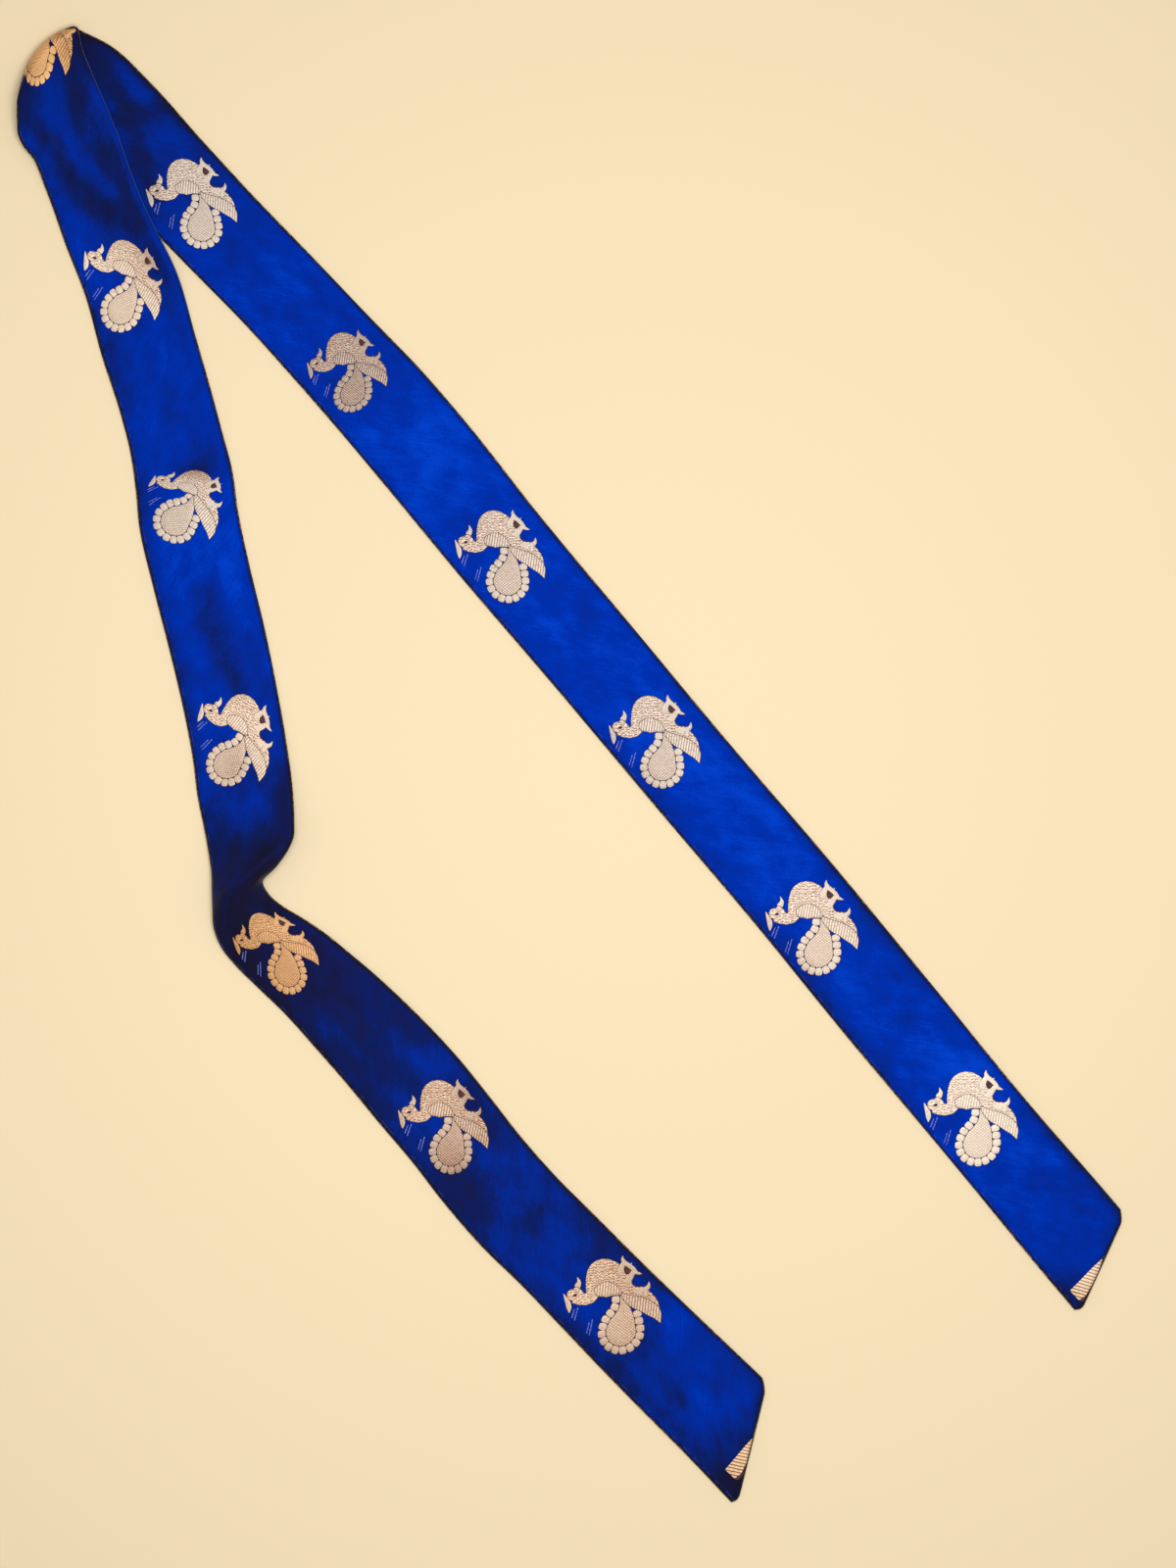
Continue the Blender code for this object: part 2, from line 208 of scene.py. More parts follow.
def middle_surface(along, across):
    """Points midway between the two panels; across runs from 0 on edge a to 1 on edge b."""
    a_x, a_y, b_x, b_y, a_rise, b_rise, arch, bow, over = np.moveaxis(sections_at(along), -1, 0)
    middle = 4.0 * across * (1.0 - across)
    chord = np.hypot(b_x - a_x, b_y - a_y)
    x = a_x + (b_x - a_x) * across + bow * middle * (b_y - a_y) / chord
    y = a_y + (b_y - a_y) * across - bow * middle * (b_x - a_x) / chord
    rise = a_rise + (b_rise - a_rise) * across + arch * middle
    lying = over * lifted_by_lower_tail(x, y)
    folds = over * sum(crease_height(x, y, crease) for crease in CREASES)
    return np.stack([x, y, REST + rise + lying + folds], axis=-1)


def slopes_of_surface(along, across):
    """The middle surface's change for each mm along, and for each whole width across."""
    ahead, aside = SLOPE_STEP, SLOPE_STEP / WIDTH
    run = middle_surface(along + ahead, across) - middle_surface(along - ahead, across)
    span = middle_surface(along, across + aside) - middle_surface(along, across - aside)
    return run / (2 * ahead), span / (2 * aside)


def unit(vectors):
    """The vectors in the last axis, at length 1."""
    return vectors / np.linalg.norm(vectors, axis=-1, keepdims=True)


def front_normals(along, across):
    """Unit vectors out of the front panel; they point up on the right tail, down on the left."""
    return unit(np.cross(*slopes_of_surface(along, across)))


def ends_of_scarf():
    """Where edge a ends at the right and at the left, as distances along. The rows of the table
    beyond them only carry the curves on."""
    edge = middle_surface(ALONG, np.zeros_like(ALONG))[:, :2]
    row = int(np.argmin(np.hypot(*(edge - LEFT_CORNER).T)))
    beyond = np.linalg.norm(np.array(LEFT_CORNER) - edge[row])
    return ALONG[1], ALONG[row] + beyond


ENDS = ends_of_scarf()


def slanted(along, across):
    """Moves the rows near the two ends on to the slanted cuts with their rounded corners."""
    first, last = ENDS
    from_corner = np.minimum(across, 1.0 - across) * WIDTH
    rounded = CORNER_ALONG * np.clip(1.0 - from_corner / CORNER_ACROSS, 0.0, 1.0) ** 2
    near_first = np.clip(1.0 - (along - first) / SLANT_FADE, 0.0, 1.0) ** 2
    near_last = np.clip(1.0 - (last - along) / SLANT_FADE, 0.0, 1.0) ** 2
    moved = along - near_first * (SLANT_RIGHT * across - rounded)
    return moved + near_last * (SLANT_LEFT * across - rounded)


def inside_edge(along, across, first, last):
    """How far inside the nearest edge or end a point is."""
    from_end = np.minimum(along - first, last - along)
    return np.minimum(np.minimum(across, 1.0 - across) * WIDTH, from_end)


def upper_share(along, side):
    """1 where this side of the scarf faces up, 0 where it faces down, with a soft change."""
    before_fold, in_fold = ALONG[FOLD_AT - 4], ALONG[FOLD_AT + 2]
    if side > 0:
        return 1.0 - smooth_step((along - before_fold) / PUFF_FADE)
    return smooth_step((along - in_fold) / PUFF_FADE)


# Soft ripples of one panel: how far along and across the middle is, the length and
# width, how much painted sheen (above 0) the silk is given there and how much painted shade
# (below 0), how far the ripple is turned from the scarf's own line in degrees, and how high it
# stands in mm. Where a panel faces down its ripples go inwards, so that it stays on the table.
Ripple = namedtuple("Ripple", "along across length width tone turn height", defaults=(0, 0))
FRONT_RIPPLES = table_of(
    Ripple,
    (12, 0.5, 60, 9, -0.15, 119), (10, 0.94, 28, 17, -0.42), (40, 0.03, 70, 7, -0.26),
    (48, 0.3, 50, 22, -0.1, -30, 0.35), (68, 0.45, 22, 12, -0.1, 70, 0.2),
    (42, 0.76, 44, 14, 0.05, 0, 0.3), (86, 0.03, 44, 6, -0.24), (150, 0.3, 60, 18, 0.06, 20, 0.45),
    (174, 0.55, 60, 12, -0.12, 115, -0.3), (203, 0.38, 26, 12, -0.1, 60, -0.2),
    (200, 0.95, 130, 7, -0.14), (228, 0.1, 70, 12, -0.07), (210, 0.6, 16, 26, 0.09),
    (270, 0.03, 180, 6, -0.2), (330, 0.92, 420, 12, -0.13), (280, 0.86, 30, 12, 0.12),
    (320, 0.2, 70, 14, 0.08, 10, 0.35), (300, 0.6, 90, 18, 0.03, -15, 0.5),
    (440, 0.4, 70, 18, -0.04, -20, 0.45), (455, 0.75, 60, 14, 0, 12, 0.3), (430, 0.92, 50, 12, 0.1),
    (520, 0.6, 44, 20, -0.08), (530, 0.92, 60, 12, 0.1), (560, 0.45, 90, 20, 0.06, -10, 0.5),
    (590, 0.68, 50, 14, -0.05, 15, -0.3), (585, 0.14, 40, 14, 0.08),
    (672, 0.62, 40, 14, -0.09, 10, -0.25), (670, 0.16, 60, 14, -0.07),
    (690, 0.35, 70, 16, 0.04, -12, 0.45), (715, 0.75, 34, 12, -0.04, 30, -0.2),
    (790, 0.58, 60, 12, -0.26, -24), (795, 0.03, 60, 7, -0.22),
    (806, 0.28, 34, 12, -0.28, 50, -0.25), (822, 0.12, 26, 8, 0.2, 0, 0.3),
    (835, 0.24, 28, 12, -0.18, -30, -0.2), (858, 0.08, 22, 22, -0.6),
    (960, 0.4, 80, 18, -0.2, 15, -0.35), (1080, 0.6, 90, 20, 0.08, -12, -0.3),
    (1190, 0.35, 70, 16, -0.2, 20, -0.35), (1310, 0.5, 60, 24, -0.45, 70, -0.3),
    (1420, 0.6, 80, 18, -0.15, -20, -0.3), (1530, 0.35, 80, 18, 0.06, 15, -0.35),
    (1640, 0.6, 70, 16, -0.15, -15, -0.3),
)
BACK_RIPPLES = table_of(
    Ripple,
    (90, 0.5, 70, 18, -0.1, 20, -0.3), (210, 0.35, 80, 20, 0.06, -15, -0.35),
    (330, 0.65, 70, 16, -0.14, 12, -0.3), (450, 0.4, 90, 20, 0.05, -20, -0.35),
    (570, 0.6, 70, 18, -0.12, 18, -0.3), (690, 0.4, 80, 18, -0.08, -12, -0.35),
    (790, 0.55, 60, 20, -0.3, 35, -0.3), (866, 0.06, 28, 22, -0.52), (868, 0.92, 32, 22, -0.55),
    (868, 0.6, 14, 16, -0.3), (880, 0.4, 18, 16, 0.1, 0, 0.5), (880, 0.02, 26, 6, -0.24),
    (886, 0.2, 30, 10, -0.2, 0, -0.2), (903, 0.28, 40, 12, -0.28, 4, -0.3),
    (905, 0.56, 36, 12, 0.14, 0, 0.6), (912, 0.74, 60, 13, -0.24, -6, -0.4),
    (925, 0.46, 18, 12, 0.12, -30, 0.2), (926, 0.18, 26, 12, -0.28, 0, -0.3),
    (945, 0.5, 30, 18, -0.26, -30, -0.4), (958, 0.2, 50, 22, -0.2),
    (962, 0.87, 70, 22, 0.18, 0, 0.3), (940, 0, 150, 5, 0.45), (940, 0.34, 14, 10, 0.16, 0, 0.2),
    (985, 0.08, 130, 14, -0.08), (984, 0.2, 26, 14, -0.2, 0, -0.2),
    (1012, 0.1, 60, 12, -0.06, -10, 0.3), (1025, 0.9, 60, 14, -0.12),
    (1032, 0.4, 40, 16, 0.08, 0, 0.3), (1056, 0.52, 60, 12, -0.07, 0, -0.2),
    (1062, 0.34, 60, 12, -0.12, -10, -0.35), (1084, 0.18, 20, 14, -0.12),
    (1092, 0.28, 22, 12, -0.16, -50, -0.3), (1092, 0.86, 40, 14, -0.12),
    (1140, 0.3, 60, 18, 0.06, -15, 0.5), (1161, 0.45, 22, 10, -0.18, 0, -0.2),
    (1184, 0.53, 54, 12, -0.28, -8, -0.4), (1192, 0.3, 40, 10, -0.14, -18, -0.3),
    (1193, 0.16, 34, 8, -0.12, -10, -0.2), (1205, 0.41, 34, 10, -0.24, -15, -0.4),
    (1200, 0.96, 260, 8, -0.2), (1212, 0.8, 110, 14, -0.05), (1227, 0.08, 30, 12, -0.16),
    (1256, 0.56, 30, 20, -0.22), (1268, 0.08, 40, 9, -0.24, 10, -0.4),
    (1277, 0.36, 20, 14, 0.2, 0, 0.5), (1286, 0.54, 18, 12, 0.18, 20, 0.4),
    (1293, 0.86, 34, 16, -0.16), (1290, 0.56, 50, 14, -0.14, 35, -0.3), (1303, 0.4, 24, 18, -0.14),
    (1316, 0.5, 60, 9, 0, 55, 0.6), (1358, 0.04, 50, 6, 0.16), (1394, 0.88, 26, 16, 0.18),
    (1408, 0.46, 40, 12, -0.12, -30, -0.3), (1414, 0.72, 26, 18, 0.14, 0, 0.4),
    (1438, 0.08, 44, 14, -0.2), (1452, 0.56, 20, 14, -0.12), (1458, 0.9, 32, 12, -0.22),
    (1462, 0.24, 26, 16, 0.22, -30, 0.4), (1486, 0.68, 20, 22, 0.14, 0, 0.4),
    (1494, 0.14, 30, 12, -0.24, 0, -0.2), (1512, 0.3, 10, 14, -0.1),
    (1526, 0.28, 16, 12, 0.1, 0, 0.3), (1526, 0.72, 44, 18, -0.26, 0, -0.2),
    (1532, 0.94, 30, 10, -0.14), (1548, 0.22, 26, 14, 0.1, 40, 0.4),
    (1562, 0.42, 26, 14, -0.2, 60, -0.3), (1580, 0.65, 60, 20, 0.1, -10, 0.4),
    (1585, 0.1, 50, 14, -0.16, 10, -0.2), (1600, 0.52, 24, 16, -0.12), (1614, 0.7, 24, 18, 0.12),
    (1625, 0.2, 44, 20, -0.14), (1625, 0.03, 80, 6, -0.14), (1620, 0.96, 40, 8, -0.14),
    (1648, 0.86, 44, 18, -0.12), (1655, 0.22, 40, 12, 0.12, 50, 0.3), (1657, 0.5, 34, 16, -0.14),
    (1668, 0.84, 24, 14, 0.1, 0, -0.2), (1680, 0.9, 80, 8, -0.24),
    (1684, 0.68, 24, 12, -0.22, 0, -0.3), (1690, 0.24, 18, 20, -0.12),
    (1690, 0.52, 16, 12, 0.14, 0, 0.4), (1718, 0.64, 20, 16, -0.26), (1095, 0.4, 9, 22, -0.32, 20),
    (1722, 0.4, 60, 9, -0.1, 57), (1732, 0.9, 28, 20, -0.55),
)
# The silk's overall painted shading by distance along: 0 for the deepest painted shade, 1 for the
# brightest painted sheen.
FRONT_PAINTED_SHADING = [
    (25, 0.77), (60, 0.82), (160, 0.83), (215, 0.8), (235, 0.77), (250, 0.77), (300, 0.84),
    (390, 0.84), (450, 0.81), (510, 0.8), (560, 0.85), (590, 0.86), (625, 0.7), (645, 0.79),
    (700, 0.8), (740, 0.71), (770, 0.6), (810, 0.62), (850, 0.4), (900, 0.5), (1250, 0.6),
    (1320, 0.3), (1420, 0.5), (1712, 0.6),
]
BACK_PAINTED_SHADING = [
    (25, 0.7), (840, 0.6), (862, 0.6), (935, 0.6), (965, 0.64), (1000, 0.7), (1050, 0.79),
    (1130, 0.82), (1190, 0.8), (1225, 0.76), (1245, 0.75), (1275, 0.6), (1300, 0.3), (1322, 0.04),
    (1345, 0.02), (1385, 0.07), (1412, 0.24), (1430, 0.34), (1450, 0.48), (1485, 0.5), (1520, 0.49),
    (1560, 0.53), (1600, 0.6), (1640, 0.62), (1660, 0.73), (1690, 0.72), (1712, 0.7), (1730, 0.62),
]
PAINTED_SHADING_SKEW = 35.0  # mm by which that lustre lags from edge a to edge b: the bend's wave is diagonal
# Painted shade in a band beside the pressed edge, where the face curves down: its depth at the
# edge, and the mm over which it fades.
RIM_PAINTED_SHADE = 0.45
RIM_FADE = 1.3


def sum_of_ripples(along, across, side, column):
    """The heights or the painted shading of one panel's ripples, each fading like a bell."""
    total = np.zeros(np.broadcast(along, across).shape)
    for ripple in FRONT_RIPPLES if side > 0 else BACK_RIPPLES:
        run, aside = along - ripple.along, (across - ripple.across) * WIDTH
        cos, sin = math.cos(math.radians(ripple.turn)), math.sin(math.radians(ripple.turn))
        u = (run * cos + aside * sin) / ripple.length * 2
        v = (aside * cos - run * sin) / ripple.width * 2
        total += getattr(ripple, column) * np.exp(-(u**2) - v**2)
    return total


def painted_shading_at(along, across, side, inside):
    """The silk's painted sheen and shade along the scarf and in its ripples, less a band of painted
    shade beside the pressed edge.
    """
    base = np.array(FRONT_PAINTED_SHADING if side > 0 else BACK_PAINTED_SHADING)
    tone = np.interp(along - PAINTED_SHADING_SKEW * (across - 0.5), base[:, 0], base[:, 1])
    rim = RIM_PAINTED_SHADE * np.exp(-((inside / RIM_FADE) ** 2))
    return tone + sum_of_ripples(along, across, side, "tone") - rim


def panel_face(along, across, side, inside):
    """Points on a panel's outer face, by how far inside its edge they are, and the unit vectors
    out of it."""
    curve = np.sqrt(1.0 - (1.0 - np.clip(inside / EDGE_ROUND, 0.0, 1.0)) ** 2)
    crown = 4.0 * np.clip(across * (1.0 - across), 0.0, 1.0)
    puff = upper_share(along, side) * PUFF + sum_of_ripples(along, across, side, "height")
    stand_off = EDGE_PART + (HALF_THICK + puff * crown - EDGE_PART) * curve
    outward = side * front_normals(along, across)
    return middle_surface(along, across) + stand_off[..., None] * outward, outward


def world(points):
    """Table millimetres to the scene's metres."""
    return (np.asarray(points) - (*CENTRE, 0.0)) * MM


# ---- small helpers


def linear(code):
    """An sRGB hex colour as linear light."""
    values = [int(code[i : i + 2], 16) / 255 for i in (1, 3, 5)]
    return [v / 12.92 if v <= 0.04045 else ((v + 0.055) / 1.055) ** 2.4 for v in values]


def tint(name, description, code):
    """A colour that can be changed in the sidebar."""
    return FloatVectorProperty(
        name=name, description=description, default=linear(code), size=3, subtype="COLOR"
    )


def measure(name, description, default):
    """A size in metres that can be changed in the sidebar."""
    return FloatProperty(name=name, description=description, default=default, unit="LENGTH")


def set_all(target, **values):
    """Sets a thing's own values by their names."""
    for name, value in values.items():
        setattr(target, name, value)


def feed(target, inputs):
    """Gives a node's inputs their values or links, by name or by number."""
    for name, value in inputs.items():
        socket = target.inputs[name]
        if isinstance(value, bpy.types.NodeSocket):
            target.id_data.links.new(value, socket)
        elif socket.type == "RGBA":
            socket.default_value = (*value, 1.0)
        else:
            socket.default_value = value


def add_node(tree, kind, inputs=(), output=0, **settings):
    """Adds one shader node with its settings and links, and gives back one of its outputs."""
    made = tree.nodes.new(f"ShaderNode{kind}")
    set_all(made, **settings)
    feed(made, inputs if isinstance(inputs, dict) else dict(enumerate(inputs)))
    return made.outputs[output]


COLOURS = {"output": 2, "data_type": "RGBA"}  # a Mix node takes two colours at its inputs 6 and 7


def new_material(name):
    """A material, what adds a node to it, and what feeds its Principled shader."""
    material = bpy.data.materials.new(name)
    material.use_nodes = True
    tree = material.node_tree
    return material, partial(add_node, tree), partial(feed, tree.nodes["Principled BSDF"])


def mottled(add, drawn, long, wide, turn=0.0, detail=2.0):
    """Cloudy patches of a length and width in metres, from about 0.3 to 0.7."""
    place = {"Vector": drawn, "Rotation": (0.0, 0.0, turn), "Scale": (long, wide, 1.0)}
    sized = add("Mapping", place, vector_type="TEXTURE")
    return add("TexNoise", {"Vector": sized, "Scale": 1.0, "Detail": detail})


def deselect():
    """Clears the selection that loading or the last operator left."""
    for item in bpy.context.selected_objects:
        item.select_set(False)
    bpy.context.view_layer.objects.active = None


def add_mesh(name, vertices, faces, uvs, marks, materials):
    """A mesh object at the origin; uvs are for each vertex, marks are its float attributes."""
    mesh = bpy.data.meshes.new(name)
    mesh.from_pydata([tuple(v) for v in vertices], [], faces)
    layer = mesh.uv_layers.new(name="cloth")
    corners = np.empty(len(mesh.loops), dtype=np.int32)
    mesh.loops.foreach_get("vertex_index", corners)
    layer.data.foreach_set("uv", np.asarray(uvs, dtype=np.float32)[corners].ravel())
    for mark, values in marks.items():
        attribute = mesh.attributes.new(mark, "FLOAT", "POINT")
        attribute.data.foreach_set("value", np.asarray(values, dtype=np.float32).ravel())
    mesh.update()
    made = bpy.data.objects.new(name, mesh)
    bpy.context.scene.collection.objects.link(made)
    mesh.shade_smooth()
    for material in materials:
        mesh.materials.append(material)
    return made


def thicken(made, thickness):
    """Gives a sheet its wall, on its inner side."""
    set_all(made.modifiers.new("wall", "SOLIDIFY"), thickness=thickness, offset=-1.0)


# ---- silk

CUT_ANGLE = 40.4  # degrees between the weave's upright and the scarf's line: it is cut slantwise
WEFT = math.radians(CUT_ANGLE)
# Patches in the lustre, in metres: length, width, turn and how much each set counts. The three
# broad sets are painted sheen; the two that run with the weft are its fine streaks.
SHIMMER = (
    (0.050, 0.018, 0.2, 0.24),
    (0.022, 0.012, -0.4, 0.22),
    (0.012, 0.007, 0.5, 0.30),
    (0.009, 0.0012, WEFT, 0.16),
    (0.0011, 0.0008, WEFT, 0.26),
)
LUSTRE_STOPS = (0.40, 0.80)  # where the dusk and the body colours stand between shade and light
STITCH_INSIDE = 0.0014
STITCH_HALF = 0.00014
STITCH_SHOW = 0.45


def silk_material(settings):
    """Piece-dyed silk satin: deep blue with painted shade and sheen that take it from near black to
    bright in soft patches, with a faint slanting streak of the weft and a stitch line inside one
    edge."""
    material, add, dress = new_material("woven_silk_satin")
    cloth = add("UVMap", uv_map="cloth")
    tone = add("Attribute", output="Fac", attribute_name="tone")
    shimmer = 0.0
    for long, wide, turn, amount in SHIMMER:
        patches = mottled(add, cloth, long, wide, turn)
        patches = add("Math", (patches, 0.5), operation="SUBTRACT")
        shimmer = add("Math", (patches, amount, shimmer), operation="MULTIPLY_ADD")
    # The lustre is less even where the silk lies half in shade.
    unevenness = add("MapRange", (tone, 0.40, 0.85, 1.6, 1.0))
    tone = add("Math", (shimmer, unevenness, tone), operation="MULTIPLY_ADD")
    ramp = add("ValToRGB", (tone,)).node
    stops = ramp.color_ramp.elements
    for place in LUSTRE_STOPS:
        stops.new(place)
    for stop, shade in zip(stops, (settings.shade, settings.dusk, settings.body, settings.light)):
        stop.color = (*shade, 1.0)
    aside = add("SeparateXYZ", (cloth,), "Y")
    seam = settings.flat_width - STITCH_INSIDE
    stitch = add("Math", (aside, seam, STITCH_HALF), operation="COMPARE")
    gaps = add("MapRange", (mottled(add, cloth, 0.003, 0.1), 0.45, 0.6))
    stitch = add("Math", (stitch, gaps), operation="MULTIPLY")
    stitch = add("Math", (stitch, STITCH_SHOW), operation="MULTIPLY")
    threads = mottled(add, cloth, 0.0007, 0.0005, WEFT, 1.0)
    dress({
        "Base Color": add("Mix", {0: stitch, 6: ramp.outputs[0], 7: settings.stitch}, **COLOURS),
        "Normal": add("Bump", {"Height": threads, "Strength": 0.15, "Distance": 0.0001}),
        "Roughness": 0.42,
        "Specular IOR Level": 0.30,
        "Specular Tint": settings.body,
    })
    return material


EDGE_COLUMNS, INNER_COLUMNS = 6, 25


def inside_steps():
    """Distances in from an edge, closer together where the face curves."""
    turn = np.linspace(0.0, math.pi / 2, EDGE_COLUMNS)
    return EDGE_ROUND * (1.0 - np.cos(turn))


def cloth_rows(step):
    """Distances along for a panel's rows, closer at the fold and the bend and round both ends."""
    first, last = ENDS
    fold_from, fold_to = ALONG[FOLD_AT - 2], ALONG[LEFT_AT + 1]
    bend_from, bend_to = ALONG[BEND_AT - 1], ALONG[END_AT]
    marks = [first + EDGE_ROUND, fold_from, fold_to, bend_from, bend_to, last - EDGE_ROUND]
    parts = [first + inside_steps()[:-1]]
    for start, end, fine in zip(marks, marks[1:], (1.0, 0.5, 1.0, 0.6, 1.0)):
        count = max(2, round((end - start) / (step * fine)))
        parts.append(np.linspace(start, end, count, endpoint=False))
    parts.append(last - inside_steps()[::-1])
    return np.concatenate(parts)


def cloth_columns():
    """Shares across for a panel's columns, closer where the face curves to the pressed edge."""
    rim = inside_steps() / WIDTH
    inner = np.linspace(rim[-1], 1.0 - rim[-1], INNER_COLUMNS)[1:-1]
    return np.concatenate([rim, inner, 1.0 - rim[::-1]])


def make_panel(name, side, settings, material):
    """One whole panel from end to end, as a thin sheet with its pressed edge curved in."""
    along, across = np.meshgrid(cloth_rows(settings.row_step / MM), cloth_columns(), indexing="ij")
    inside = inside_edge(along, across, *ENDS)
    laid = slanted(along, across)
    points, _ = panel_face(laid, across, side, inside)
    index = np.arange(along.size).reshape(along.shape)
    quads = np.stack([index[:-1, :-1], index[:-1, 1:], index[1:, 1:], index[1:, :-1]], axis=-1)
    quads = quads.reshape(-1, 4)[:, ::-side].tolist()
    uvs = np.stack([laid * MM, across * WIDTH * MM], axis=-1).reshape(-1, 2)
    # The silk's painted shading, sheen and shade by place on the cloth, drives its colour.
    marks = {"tone": painted_shading_at(laid, across, side, inside)}
    made = add_mesh(name, world(points).reshape(-1, 3), quads, uvs, marks, [material])
    thicken(made, settings.wall)
    return made


class ScarfSilk(bpy.types.PropertyGroup):
    """The silk of both panels."""

    wall: measure("Sheet thickness", "Silk with its facing", 0.00042)
    row_step: measure("Row step", "Between rows of the mesh", 0.0022)
    flat_width: measure("Cut width", "One panel, finished", 0.050)
    flat_length: measure("Cut length", "One panel, finished, the mean of its two edges", 1.716)
    # The ramp of painted shading on the silk: shade is its deepest painted shade, dusk the painted
    # shade of dark folds, silk its own blue, light its brightest painted sheen.
    shade: tint("Shade", "Where the lustre is darkest", "#17152A")
    dusk: tint("Dusk", "Dark folds", "#0D1C5A")
    body: tint("Silk", "Main blue", "#012CA4")
    light: tint("Light", "Where the lustre is brightest", "#0340C8")
    stitch: tint("Stitch", "The stitch line inside one edge", "#4A58C0")


class SCARF_OT_silk_panels(bpy.types.Operator):
    """Front and back silk panels"""

    bl_idname = "scarf.silk_panels"
    bl_label = "Silk panels"

    def execute(self, context):
        settings = context.scene.scarf_silk
        deselect()
        material = silk_material(settings)
        stretches = ("right_tail", "fold", "left_tail", "bend", "left_end")
        for cut, side in (("front", 1), ("back", -1)):
            panel = make_panel(f"silk_{cut}_panel", side, settings, material)
            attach(panel, "root")
            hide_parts(*(f"{cut}_{stretch}" for stretch in stretches))
        return {"FINISHED"}


# ---- edge thread

OVERLAP_MIDDLE, OVERLAP_LENGTH = 945.0, 72.0  # the stretch of edge a that lies on the other tail
THREAD_SIDES = 8


def outline_path(step):
    """The scarf's whole edge as one closed path: edge a, left end, edge b, right end."""
    first, last = ENDS
    rows = np.linspace(first, last, round((last - first) / step))
    columns = np.linspace(0.0, 1.0, round(WIDTH / step))[1:-1]
    left, right = np.full_like(columns, last), np.full_like(columns, first)
    along = np.concatenate([rows, left, rows[::-1], right])
    across = np.concatenate([0 * rows, columns, 0 * rows + 1, columns[::-1]])
    laid = slanted(along, across)
    covering = np.exp(-(((along - OVERLAP_MIDDLE) / OVERLAP_LENGTH) ** 8)) * (across == 0)
    return middle_surface(laid, across), front_normals(laid, across), covering


def make_edge_thread(settings, material):
    """The whipping along the whole pressed edge, as one round thread."""
    points, normals, covering = outline_path(settings.step / MM)
    ahead = unit(np.roll(points, -1, axis=0) - np.roll(points, 1, axis=0))
    sideways = unit(np.cross(ahead, normals))
    steps = np.linalg.norm(np.diff(points, axis=0), axis=1)
    run = np.concatenate([[0.0], np.cumsum(steps)])
    turn = np.arange(THREAD_SIDES) * 2 * math.pi / THREAD_SIDES
    cos, sin = np.cos(turn)[:, None], np.sin(turn)[:, None]
    ring = cos * sideways[:, None, :] + sin * normals[:, None, :]
    vertices = points[:, None, :] + settings.radius / MM * ring
    index = np.arange(len(points) * THREAD_SIDES).reshape(len(points), THREAD_SIDES)
    ahead_of, beside = np.roll(index, -1, axis=0), np.roll(index, -1, axis=1)
    quads = np.stack([index, beside, np.roll(beside, -1, axis=0), ahead_of], axis=-1)
    uvs = np.stack(np.broadcast_arrays(run[:, None] * MM, turn[None, :] * MM), axis=-1)
    vertices, faces = world(vertices).reshape(-1, 3), quads.reshape(-1, 4).tolist()
    marks = {"covering": np.repeat(covering, THREAD_SIDES)}
    return add_mesh("edge_thread", vertices, faces, uvs.reshape(-1, 2), marks, [material])


def edge_thread_material(settings):
    """Whipping in near-black silk, which is also the painted shade of the rolled edge, with old
    gold thread showing between the stitches.
    """
    material, add, dress = new_material("whipped_edge_thread")
    cloth = add("UVMap", uv_map="cloth")
    stitches = mottled(add, cloth, 0.0016, 0.003, 0.0, 1.0)
    glints = add("MapRange", (stitches, 0.42, 0.62))
    stretches = add("MapRange", (mottled(add, cloth, 0.060, 1.0, 0.0, 1.0), 0.35, 0.65))
    gold = add("Math", (glints, stretches), operation="MULTIPLY")
    whipping = add("Mix", {0: gold, 6: settings.thread, 7: settings.gold}, **COLOURS)
    # Where edge a lies on the other tail the whipping takes the silk's blue instead, with no
    # painted shade there.
    covering = add("Attribute", output="Fac", attribute_name="covering")
    dress({
        "Base Color": add("Mix", {0: covering, 6: whipping, 7: settings.blue}, **COLOURS),
        "Normal": add("Bump", {"Height": stitches, "Strength": 0.5, "Distance": 0.0003}),
        "Roughness": 0.6,
        "Specular IOR Level": 0.2,
    })
    return material


class ScarfEdge(bpy.types.PropertyGroup):
    """The whipped thread round the pressed edge."""

    radius: measure("Thread radius", "Half the whipping's width", 0.00040)
    step: measure("Step", "Between rings of the mesh", 0.0012)
    # The whipping's near-black is also the painted shade along the rolled edge.
    thread: tint("Thread", "Near-black whipping", "#14100E")
    gold: tint("Old gold", "Metal thread in the whipping", "#8A7030")
    blue: tint("Blue", "Silk of the edge where it lies on the other tail", "#0C3C90")


class SCARF_OT_edge_thread(bpy.types.Operator):
    """Whipped thread round the whole edge"""

    bl_idname = "scarf.edge_thread"
    bl_label = "Edge thread"

    def execute(self, context):
        settings = context.scene.scarf_edge
        deselect()
        thread = make_edge_thread(settings, edge_thread_material(settings))
        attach(thread, "root")
        return {"FINISHED"}


# ---- drawing the woven motifs

# What each part of a motif is woven as; the number is its material's place on the mesh.
# The outline weave is a motif's drawn line; where it rims a form's outside it is also painted
# shadow round the raised zari.
WAVES, STRIPES, SCALES, PLAIN, BARS, FLOATS, OUTLINE_AND_SHADOW, CUT_OUT = range(8)
OVAL_POINTS = 20


